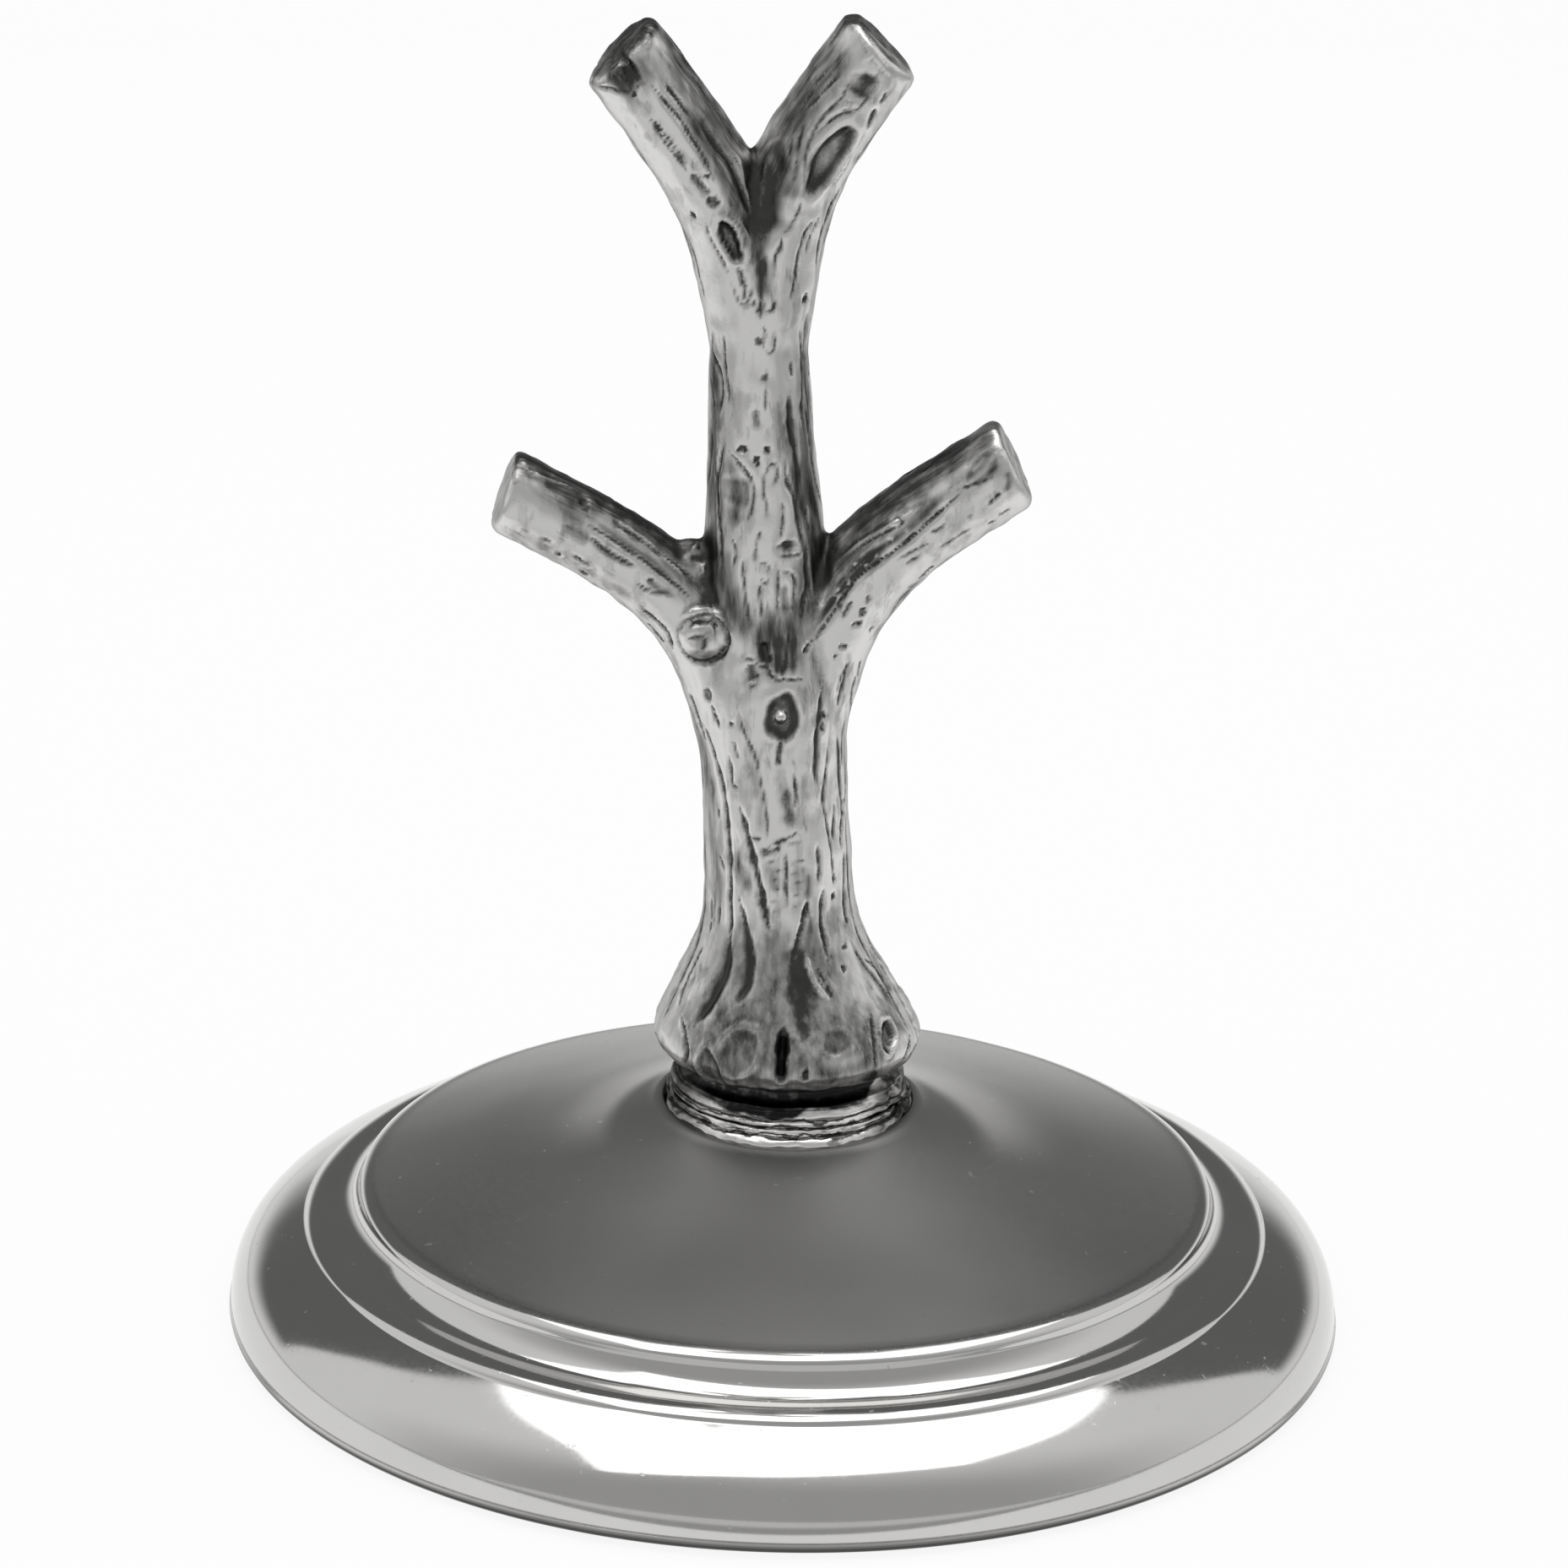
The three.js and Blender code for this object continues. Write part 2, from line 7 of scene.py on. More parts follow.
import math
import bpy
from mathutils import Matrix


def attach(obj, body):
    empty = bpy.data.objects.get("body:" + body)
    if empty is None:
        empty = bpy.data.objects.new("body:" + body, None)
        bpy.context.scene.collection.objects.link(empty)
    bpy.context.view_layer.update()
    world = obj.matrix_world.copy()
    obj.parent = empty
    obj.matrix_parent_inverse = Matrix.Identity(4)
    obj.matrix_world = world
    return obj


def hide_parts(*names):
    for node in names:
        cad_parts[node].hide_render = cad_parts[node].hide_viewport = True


bl_info = {
    "name": "Ring Tree",
    "version": (1, 0, 0),
    "blender": (4, 5, 0),
    "location": "View3D > Sidebar > Ring Tree",
    "description": "Models a cast silver ring tree on a stepped foot, with its stage",
    "category": "Add Mesh",
}

from collections import namedtuple

import bmesh
import bpy
import numpy as np
from bpy.props import FloatProperty, FloatVectorProperty, IntProperty, PointerProperty
from mathutils import Matrix, Vector, noise
from mathutils.bvhtree import BVHTree
from mathutils.geometry import interpolate_bezier

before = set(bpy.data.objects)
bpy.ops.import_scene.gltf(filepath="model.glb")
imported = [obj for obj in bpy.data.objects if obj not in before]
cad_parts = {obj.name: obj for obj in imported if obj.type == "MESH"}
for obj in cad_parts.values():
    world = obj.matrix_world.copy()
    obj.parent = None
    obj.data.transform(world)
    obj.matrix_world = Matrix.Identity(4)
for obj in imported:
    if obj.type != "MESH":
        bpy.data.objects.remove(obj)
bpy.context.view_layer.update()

MM = 0.001
BODY = "root"
UPWARD = Vector((0, 0, 1))


# Camera: the picture's width and the lens in the picture's own points, how far off in
# millimetres and how high the camera stands, how far it rolls, and how far the foot's
# middle lies from the picture's middle.

PICTURE_WIDTH = 1857
FOCAL_PIXELS = 6490
CAMERA_DISTANCE = 375
CAMERA_ELEVATION = math.radians(25.1)
CAMERA_ROLL = math.radians(1.37)
ORIGIN_RIGHT_PIXELS = 13.2
ORIGIN_DOWN_PIXELS = 612.3
# How many of the picture's points one millimetre of the tree takes up.
PIXELS_PER_MM = 17.3
SENSOR_WIDTH = 36
# Nearest and farthest distance that the camera sees, in metres.
CLIP_RANGE = (0.01, 20)


def camera_frame():
    """The camera's place and its right, up and forward directions, in millimetres."""
    place = Vector((0, -math.cos(CAMERA_ELEVATION), math.sin(CAMERA_ELEVATION))) * CAMERA_DISTANCE
    right = Vector((1, 0, 0))
    forward = -place.normalized()
    up = right.cross(forward)
    tilt = Matrix.Rotation(math.atan(ORIGIN_DOWN_PIXELS / FOCAL_PIXELS), 3, right)
    forward, up = tilt @ forward, tilt @ up
    pan = Matrix.Rotation(math.atan(ORIGIN_RIGHT_PIXELS / FOCAL_PIXELS), 3, up)
    forward, right = pan @ forward, pan @ right
    turn_cos, turn_sin = math.cos(CAMERA_ROLL), math.sin(CAMERA_ROLL)
    return place, right * turn_cos + up * turn_sin, up * turn_cos - right * turn_sin, forward


def sight_line(x, y):
    """Where the line of sight through a point of the picture starts, and its direction."""
    place, right, up, forward = camera_frame()
    across = (x - PICTURE_WIDTH / 2) / FOCAL_PIXELS
    down = (y - PICTURE_WIDTH / 2) / FOCAL_PIXELS
    return place, (forward + right * across - up * down).normalized()


# Sizes and colours that a user would change.


def length(name, description, default):
    return FloatProperty(name=name, description=description, default=default)


def share(name, description, default):
    return FloatProperty(name=name, description=description, default=default, min=0, max=1)


def colour(name, description, default):
    return FloatVectorProperty(
        name=name, description=description, default=default,
        subtype="COLOR", size=3, min=0, max=1)


class RingTreeFootSizes(bpy.types.PropertyGroup):
    """Sizes of the foot, in millimetres."""

    shell_radius: length("Shell radius", "Outer radius of the spun shell", 37.38)
    shell_bottom: length("Shell bottom", "Height of the shell's lower edge", 1.0)
    ledge_radius: length("Ledge radius", "Radius of the narrow ledge", 32.3)
    ledge_height: length("Ledge height", "Height of the narrow ledge", 7.2)
    plateau_radius: length("Plateau radius", "Radius of the upper step", 28.5)
    plateau_height: length("Plateau height", "Height of the upper step", 9.55)
    cove_radius: length("Cove radius", "Radius of the cove under the upper step", 2.0)
    neck_radius: length("Neck radius", "Radius of the top of the flare", 8.6)
    neck_height: length("Neck height", "Height of the top of the flare", 15.3)
    wall: length("Wall", "Thickness of the sheet", 0.6)
    wire_radius: length("Wire radius", "Outer radius of the rim wire", 37.5)
    wire_size: length("Wire size", "Width and height of the rim wire", 1.2)
    wire_lift: length("Wire lift", "Gap between the table and the rim wire", 0.35)
    collar_radius: length("Collar radius", "Radius of the collar under the roots", 7.9)
    collar_height: length("Collar height", "Height of the collar", 3.2)
    steps: IntProperty(name="Steps", description="Steps round each turned piece", default=256)


class RingTreeTreeSizes(bpy.types.PropertyGroup):
    """Sizes of the cast tree, in millimetres."""

    foot_height: length("Foot height", "Height at which the roots start", 18.5)
    root_radius: length("Root radius", "Radius across the roots", 8.9)
    root_height: length("Root height", "Height of the roots' swell", 11)
    bole_radius: length("Bole radius", "Radius of the trunk", 4.9)
    bole_height: length("Bole height", "Height of the trunk below the first fork", 27)
    leader_radius: length("Leader radius", "Radius of the stem between the forks", 3.22)
    lean: length("Lean", "How far the top of the stem leans to the left", 3.7)
    grain: length("Grain", "Size of one step of the modelled surface", 0.214)
    spigot_radius: length("Spigot radius", "Radius of the peg under the roots", 2.5)
    spigot_length: length("Spigot length", "Length of the peg under the roots", 6.4)


class RingTreeFinish(bpy.types.PropertyGroup):
    """Colours and polish."""

    tree_silver: colour(
        "Tree silver", "Colour of the tree's polished high parts", (0.74, 0.735, 0.725))
    # Dark colour of the tree's tarnish, also used for its painted shade and for the foot's painted
    # edge shadow.
    tree_tarnish_and_shade: colour(
        "Tree tarnish", "Colour of the dark metal in the furrows", (0.07, 0.069, 0.067))
    foot_silver: colour(
        "Foot silver", "Colour of the polished foot", (0.62, 0.615, 0.605))
    tree_roughness: share("Tree roughness", "Roughness of the tree's high parts", 0.28)
    foot_roughness: share("Foot roughness", "Roughness of the polished foot", 0.07)


GROUPS = (RingTreeFootSizes, RingTreeTreeSizes, RingTreeFinish)


def foot_sizes():
    return bpy.context.scene.ring_tree_foot


def tree_sizes():
    return bpy.context.scene.ring_tree_tree


def finish_values():
    return bpy.context.scene.ring_tree_finish


# Making and placing pieces.


def new_piece(name, form, node, material):
    """Turns a form in millimetres into a named piece in metres that stands for a node."""
    bmesh.ops.scale(form, vec=(MM, MM, MM), verts=form.verts)
    mesh = bpy.data.meshes.new(name)
    form.to_mesh(mesh)
    form.free()
    place_piece(name, mesh, node, material)


def place_piece(name, mesh, node, material):
    """Makes a mesh in metres a smooth piece with its material that stands for a node."""
    mesh.shade_smooth()
    mesh.materials.append(material)
    piece = bpy.data.objects.new(name, mesh)
    bpy.context.scene.collection.objects.link(piece)
    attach(piece, BODY)
    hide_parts(node)


def dress(node, material):
    """Gives a carried-over node its material."""
    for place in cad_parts[node].material_slots:
        place.material = material


MERGE_DISTANCE = 1e-4


def spun(points, steps, closed=True):
    """Turns a line of places once round the axis, from its end back to its start if closed."""
    form = bmesh.new()
    corners = [form.verts.new((radius, 0, height)) for radius, height in points]
    edges = [form.edges.new(pair) for pair in zip(corners, corners[1:])]
    if closed:
        edges.append(form.edges.new((corners[-1], corners[0])))
    bmesh.ops.spin(
        form, geom=corners + edges, cent=(0, 0, 0), axis=(0, 0, 1),
        angle=math.tau, steps=steps, use_merge=True, use_duplicate=False)
    bmesh.ops.remove_doubles(form, verts=form.verts, dist=MERGE_DISTANCE)
    bmesh.ops.recalc_face_normals(form, faces=form.faces)
    return form


def bezier_points(start, handle, other_handle, end, count):
    """Points on a curve between two places of radius and height."""
    knots = [Vector((x, y, 0)) for x, y in (start, handle, other_handle, end)]
    return [(point.x, point.y) for point in interpolate_bezier(*knots, count)]


# How far a handle goes toward the corner when a curve makes a quarter of a circle.
QUARTER = 0.5523


def quarter_round(start, corner, end, count):
    """A rounded corner between two places, by way of the corner between them."""
    handles = [
        tuple(a + (c - a) * QUARTER for a, c in zip(place, corner)) for place in (start, end)
    ]
    return bezier_points(start, *handles, end, count)


def profile(radius, height, curves):
    """Curves whose places are given from a radius and a height, each with its count."""
    points = []
    for *places, count in curves:
        points += bezier_points(*((radius + out, height + up) for out, up in places), count)
    return points


def wander(point, scale, seed):
    """A smooth value between -1 and 1 that changes over a distance of one scale."""
    return noise.noise(point / scale + Vector((seed, seed * 0.7, -seed)))


def ripples(point, waves):
    """The sum of smooth waves, each given by its height, its scale and its seed."""
    return sum(height * wander(point, scale, seed) for height, scale, seed in waves)


def eased(share):
    """A share from 0 to 1 that starts and ends gently."""
    return share * share * (3 - 2 * share)


def within(value):
    """A number held between 0 and 1."""
    return min(1, max(0, value))


# Foot.

# Tilts of the foot's faces from level.
RIM_TILT = math.radians(22)
FLARE_TILT = math.radians(16.4)
# The rim's curve: length of the handles at its top and its lower edge, and how far its top
# lies under the ledge.
RIM_SHOULDER = 3.2
RIM_SIDE = 3.3
RIM_DROP = 0.56
# Widths of the rounded edges of the ledge and the upper step, height of the cove between
# them, and length of the handles of the flare's curve.
LEDGE_ROUND = 1.5
STEP_ROUND = 0.95
COVE_HEIGHT = 1.75
FLARE_HANDLE = 6
# Unevenness of the spun shell.
SHELL_SAG = ((0.05, 14, 3), (0.018, 5, 8))


def shell_outline(foot):
    """The foot's outside from the rim's lower edge up to the neck.

    Each wall leans in a little, so that the shell would come off its former.
    """
    ledge, step = foot.ledge_radius, foot.plateau_radius
    ledge_top, top = foot.ledge_height, foot.plateau_height
    rim_top = ledge_top - RIM_DROP
    points = bezier_points(
        (foot.shell_radius, foot.shell_bottom), (foot.shell_radius, foot.shell_bottom + RIM_SIDE),
        (ledge + RIM_SHOULDER * math.cos(RIM_TILT), rim_top - RIM_SHOULDER * math.sin(RIM_TILT)),
        (ledge, rim_top), 40)
    points += quarter_round(
        (ledge, rim_top + 0.02), (ledge - 0.15, ledge_top), (ledge - LEDGE_ROUND, ledge_top), 16)
    points += quarter_round(
        (step + foot.cove_radius, ledge_top), (step + 0.15, ledge_top),
        (step + 0.13, ledge_top + COVE_HEIGHT), 20)
    edge = (step - STEP_ROUND, top + 0.02)
    points += quarter_round((step + 0.12, ledge_top + 1.8), (step + 0.05, top - 0.1), edge, 16)
    neck = (foot.neck_radius + 0.5, foot.neck_height - 0.3)
    rise = FLARE_HANDLE * math.tan(FLARE_TILT)
    points += bezier_points(
        edge, (edge[0] - FLARE_HANDLE, edge[1] + rise),
        (neck[0] + FLARE_HANDLE, neck[1] - rise), neck, 30)[1:]
    points.append((foot.neck_radius - 0.1, foot.neck_height + 0.1))
    return points


def foot_shell_form(foot):
    form = spun(shell_outline(foot), foot.steps, closed=False)
    for vert in form.verts:
        outward = Vector((vert.co.x, vert.co.y, 0)).normalized()
        sag = ripples(vert.co, SHELL_SAG)
        away_from_rim = min(1, (vert.co.z - foot.shell_bottom) / 2)
        vert.co += (outward * 0.5 + UPWARD) * sag * away_from_rim
    bmesh.ops.recalc_face_normals(form, faces=form.faces)
    bmesh.ops.solidify(form, geom=form.faces[:], thickness=foot.wall)
    return form


# Radius of the wire's lower corner.
WIRE_ROUND = 0.4


def rim_wire_form(foot):
    """A flat wire with a rounded outer corner that runs up into the shell's edge."""
    outer, inner = foot.wire_radius, foot.wire_radius - foot.wire_size
    low, top = foot.wire_lift, foot.shell_bottom
    side = quarter_round((outer - WIRE_ROUND, low), (outer, low), (outer, low + WIRE_ROUND), 8)
    side += bezier_points(
        (outer, low + WIRE_ROUND), (outer, low + 0.5),
        (foot.shell_radius + 0.04, top - 0.1), (foot.shell_radius - 0.02, top), 8)[1:]
    return spun([(inner, low), *side, (inner, top)], foot.steps)


# The collar's two ridges and the hollow above them, as places from the collar's radius and
# its lower edge. The hollow's curve ends at the collar's top.
COLLAR_RIDGES = (
    ((-0.1, 0.8), (0.15, 0.9), (0.12, 1.1), (-0.1, 1.2), 8),
    ((-0.1, 1.25), (0.1, 1.4), (0, 1.9), (-0.35, 2.05), 10),
)
COLLAR_HOLLOW = ((-0.35, 2.1), (-1.0, 2.2), (-1.4, 2.5))
COLLAR_HOLLOW_DEPTH = 1.2
COLLAR_BORE_GAP = 0.3
# The collar's outer part is uneven, with one lump on the right.
COLLAR_UNEVEN_DEPTH = 1.6
COLLAR_DENTS = ((0.12, 1.9, 5), (0.05, 0.8, 2))
COLLAR_LUMP_PLACE = 7.2
COLLAR_LUMP_WIDTH = 1.6


def collar_form(foot):
    """The collar: a worked band with ring lines, and a dark hollow under the roots."""
    radius, low = foot.collar_radius, foot.neck_height
    top, bore = low + foot.collar_height, tree_sizes().spigot_radius + COLLAR_BORE_GAP
    hollow = (*COLLAR_HOLLOW, (-COLLAR_HOLLOW_DEPTH, foot.collar_height), 10)
    side = [(radius - 0.1, low + 0.3), *profile(radius, low, (*COLLAR_RIDGES, hollow))]
    form = spun([(bore, low), *side, (bore, top)], foot.steps)
    for vert in form.verts:
        outward = Vector((vert.co.x, vert.co.y, 0))
        if outward.length > radius - COLLAR_UNEVEN_DEPTH:
            dent = ripples(vert.co, COLLAR_DENTS) - 0.06
            off_lump = (vert.co.x - COLLAR_LUMP_PLACE) / COLLAR_LUMP_WIDTH
            lump = math.exp(-off_lump ** 2) * (vert.co.y < 0)
            dent += lump * (0.05 + 0.3 * wander(vert.co, 1.2, 21))
            vert.co += outward.normalized() * dent
            vert.co.z += 0.1 * wander(vert.co, 2.4, 12)
    return form


def flare_level(foot, radius):
    """Height of the foot's flare at a radius."""
    outline = shell_outline(foot)
    for (outer, low), (inner, high) in zip(outline[::-1][1:], outline[::-1]):
        if radius <= outer:
            return high + (low - high) * (radius - inner) / max(outer - inner, 1e-6)
    return foot.plateau_height


# The solder: how far it reaches under the collar and out from there, its upper curve as
# places from its inner radius and the neck, the steps round it and its lumps.
SOLDER_OVERLAP = 0.25
SOLDER_SPREAD = 1.15
SOLDER_CREST = ((0.15, 0.75), (0.4, 0.72), (0.38, 0.5), (0.4, 0.42), 6)
SOLDER_STEPS = 360
SOLDER_EDGE = ((0.2, 2.6, 1), (0.1, 0.9, 6))
SOLDER_LUMPS = ((0.14, 1.7, 4), (0.04, 0.6, 7))


def solder_form(foot):
    """An uneven bead of solder where the collar meets the flare."""
    seat = foot.collar_radius - SOLDER_OVERLAP
    low = foot.neck_height
    foot_level = flare_level(foot, seat + SOLDER_SPREAD) - 0.08
    points = [(seat, low + 0.75), *profile(seat, low, (SOLDER_CREST,))]
    points += bezier_points(
        (seat + 0.6, low + 0.42), (seat + 1.0, low + 0.4),
        (seat + 1.2, low), (seat + SOLDER_SPREAD, foot_level), 10)
    form = spun([*points, (seat, low + 0.05)], SOLDER_STEPS)
    for vert in form.verts:
        outward = Vector((vert.co.x, vert.co.y, 0))
        off_seat = within((outward.length - seat) / 0.2)
        around = Vector((vert.co.x, vert.co.y, vert.co.z * 2.2))
        beside = (vert.co.x / outward.length) ** 4
        push = ripples(around, SOLDER_EDGE) - 0.5 * beside * within(outward.length - seat)
        vert.co += outward.normalized() * push * off_seat
        vert.co.z += ripples(around, SOLDER_LUMPS) * off_seat
    return form


# Tree: the smooth body.

# Height over which the stem leans, and how the lean grows with height.
LEAN_HEIGHT = 61.4
LEAN_POWER = 0.85
# The roots' swell: share of their height, and share of the way from trunk to roots.
ROOT_SWELL = (
    (0, 0.62), (0.04, 0.86), (0.12, 1.0), (0.22, 0.95), (0.33, 0.8), (0.46, 0.61),
    (0.58, 0.43), (0.7, 0.26), (0.82, 0.13), (0.94, 0.05),
)
# The trunk above the roots: share of its height, and share of its radius.
BOLE_SWELL = (
    (0.46, 1.0), (0.6, 0.99), (0.75, 0.98), (0.88, 1.0), (0.97, 1.0), (1.06, 0.93), (1.15, 0.75),
)
# The stem between the forks: share of its height, and share of its radius.
LEADER_SWELL = (
    (0.0, 1.36), (0.25, 1.36), (0.45, 1.2), (0.6, 1.08), (0.75, 1.0), (0.88, 0.9), (1.0, 0.5),
)
LEADER_BASE = 21
LEADER_TOP = 56
TREE_TOP = 88.48
# How flat the trunk is from front to back.
TRUNK_DEPTH = 0.98

# A branch: its side, its radius, the height at which it starts on the stem, how far beside
# the stem's middle that is, how far it climbs before it turns, how far out, how high and
# how far forward its cut lies, and the length and the pitch of its last straight part.
# In turn: lower left, lower right, upper left and upper right.
Limb = namedtuple("Limb", "side radius start offset climb reach tip forward swing pitch")
LIMBS = (
    Limb(-1, 2.7, 18, 2.1, 14, 19.25, 39.2, 1.6, 9.2, 29),
    Limb(1, 3.05, 22, 1.85, 12, 13.7, 41.4, 0, 7.2, 36.5),
    Limb(-1, 2.93, 46, 0.1, 10.8, 12.1, 68.2, 2.2, 8, 53.5),
    Limb(1, 3.0, 46.5, 0.0, 12.6, 4.45, 68.5, 0, 8.5, 56),
)
# Rings along a branch, how much fuller it is where it starts, and its saw cut.
LIMB_RINGS = 26
LIMB_SWELL = 0.1
CUT_SLANT = math.radians(10)
CUT_ROUND = 0.5
# The swell in the left crotch, where the lower branch leaves the stem.
CROTCH_SWELL = (-7.12, -0.4, 52.35)
CROTCH_SWELL_RADIUS = 1.9
# Smoothing of the joined skin.
SKIN_SMOOTHING = 0.5
SKIN_ROUNDS = 14


def axis_at(height):
    """The trunk's middle at a height above the collar."""
    tree = tree_sizes()
    share = max(height, 0) / LEAN_HEIGHT
    return Vector((-tree.lean * share ** LEAN_POWER, 0, tree.foot_height + height))


def square_to(along):
    """The directions beside and before a limb that are square to its own."""
    side = along.cross(Vector((0, -1, 0))).normalized()
    return side, side.cross(along).normalized()


def station(middle, along, half_width, half_depth):
    """Places a unit ring at a middle, square to a direction."""
    side, face = square_to(along)
    turn = Matrix((side, face, along)).transposed().to_4x4()
    return Matrix.Translation(middle) @ turn @ Matrix.Diagonal((half_width, half_depth, 1, 1))


def tube(form, stations, sides=64):
    """Draws a ring through stations and closes both ends."""
    ring = bmesh.ops.create_circle(form, cap_ends=True, radius=1, segments=sides)["verts"]
    bmesh.ops.transform(form, matrix=stations[0], verts=ring)
    first = ring[0].link_faces[0]
    bmesh.ops.reverse_faces(form, faces=[first])
    rim = list(first.edges)
    for before, after in zip(stations, stations[1:]):
        drawn = bmesh.ops.extrude_edge_only(form, edges=rim)["geom"]
        moved = [item for item in drawn if isinstance(item, bmesh.types.BMVert)]
        rim = [
            item for item in drawn
            if isinstance(item, bmesh.types.BMEdge) and all(vert in moved for vert in item.verts)
        ]
        bmesh.ops.transform(form, matrix=after @ before.inverted(), verts=moved)
    bmesh.ops.holes_fill(form, edges=rim, sides=0)


def trunk_stations():
    tree = tree_sizes()
    rings = [
        (tree.root_height * share, tree.bole_radius + (tree.root_radius - tree.bole_radius) * swell)
        for share, swell in ROOT_SWELL
    ]
    rings += [(tree.bole_height * share, tree.bole_radius * swell) for share, swell in BOLE_SWELL]
    return [
        station(axis_at(height), UPWARD, radius, radius * TRUNK_DEPTH) for height, radius in rings
    ]


def leader_stations():
    tree = tree_sizes()
    rings = []
    for share, swell in LEADER_SWELL:
        height = LEADER_BASE + (LEADER_TOP - LEADER_BASE) * share
        along = (axis_at(height + 1) - axis_at(height - 1)).normalized()
        radius = tree.leader_radius * swell
        rings.append(station(axis_at(height), along, radius, radius))
    return rings


def limb_curve(limb, count):
    """Points along a branch's middle, from the trunk to its cut."""
    root = axis_at(limb.start) + Vector((limb.side * limb.offset, 0, 0))
    end = Vector((limb.side * limb.reach, -limb.forward, tree_sizes().foot_height + limb.tip))
    pitch = math.radians(limb.pitch)
    outward = Vector((limb.side * math.cos(pitch), 0, math.sin(pitch)))
    handle = end - outward * limb.swing
    handle.y = -limb.forward / 2
    return interpolate_bezier(root, root + Vector((0, 0, limb.climb)), handle, end, count)


def draw_limb(form, limb):
    """A branch: a tube along its curve that a slanted saw cut ends."""
    middles = limb_curve(limb, LIMB_RINGS)
    along = [(b - a).normalized() for a, b in zip(middles, middles[1:])]
    along += along[-1:] * 2
    middles.append(middles[-1] + along[-1] * limb.radius)
    stations = []
    for i, (middle, direction) in enumerate(zip(middles, along)):
        slimmer = eased(within((i / (LIMB_RINGS - 1) - 0.2) / 0.55))
        swell = 1 + LIMB_SWELL * (1 - slimmer)
        swell *= 0.88 + 0.12 * min(1, i / 4)
        stations.append(station(middle, direction, limb.radius * swell, limb.radius * swell))
    branch = bmesh.new()
    tube(branch, stations[:-3] + stations[-1:])
    pitch = math.radians(limb.pitch)
    lift = Vector((-limb.side * math.sin(pitch), 0, math.cos(pitch)))
    cut = bmesh.ops.bisect_plane(
        branch, geom=branch.verts[:] + branch.edges[:] + branch.faces[:], plane_co=middles[-2],
        plane_no=(along[-1] - lift * math.tan(CUT_SLANT)).normalized(), clear_outer=True)
    rim = [item for item in cut["geom_cut"] if isinstance(item, bmesh.types.BMEdge)]
    bmesh.ops.holes_fill(branch, edges=rim, sides=0)
    bmesh.ops.recalc_face_normals(branch, faces=branch.faces)
    bmesh.ops.bevel(
        branch, geom=rim, offset=CUT_ROUND, offset_type="OFFSET", segments=4,
        profile=0.5, affect="EDGES", clamp_overlap=True, material=-1)
    whole = bpy.data.meshes.new("limb")
    branch.to_mesh(whole)
    branch.free()
    form.from_mesh(whole)
    bpy.data.meshes.remove(whole)


def tree_body():
    """The tree's smooth body as one closed skin, in millimetres."""
    tree = tree_sizes()
    form = bmesh.new()
    tube(form, trunk_stations())
    tube(form, leader_stations())
    peg = tree.foot_height - tree.spigot_length
    tube(form, [
        station(UPWARD * level, UPWARD, tree.spigot_radius, tree.spigot_radius)
        for level in (peg, peg + tree.spigot_length + 2)
    ])
    for limb in LIMBS:
        draw_limb(form, limb)
    bmesh.ops.create_icosphere(
        form, subdivisions=4, radius=CROTCH_SWELL_RADIUS, matrix=Matrix.Translation(CROTCH_SWELL))
    bmesh.ops.recalc_face_normals(form, faces=form.faces)
    mesh = bpy.data.meshes.new("tree_body")
    form.to_mesh(mesh)
    form.free()
    body = bpy.data.objects.new("tree_body", mesh)
    bpy.context.scene.collection.objects.link(body)
    skin = body.modifiers.new("skin", "REMESH")
    skin.mode = "VOXEL"
    skin.voxel_size = tree.grain
    soft = body.modifiers.new("soft", "SMOOTH")
    soft.factor = SKIN_SMOOTHING
    soft.iterations = SKIN_ROUNDS
    graph = bpy.context.evaluated_depsgraph_get()
    done = bpy.data.meshes.new_from_object(body.evaluated_get(graph))
    bpy.data.objects.remove(body)
    bpy.data.meshes.remove(mesh)
    return done
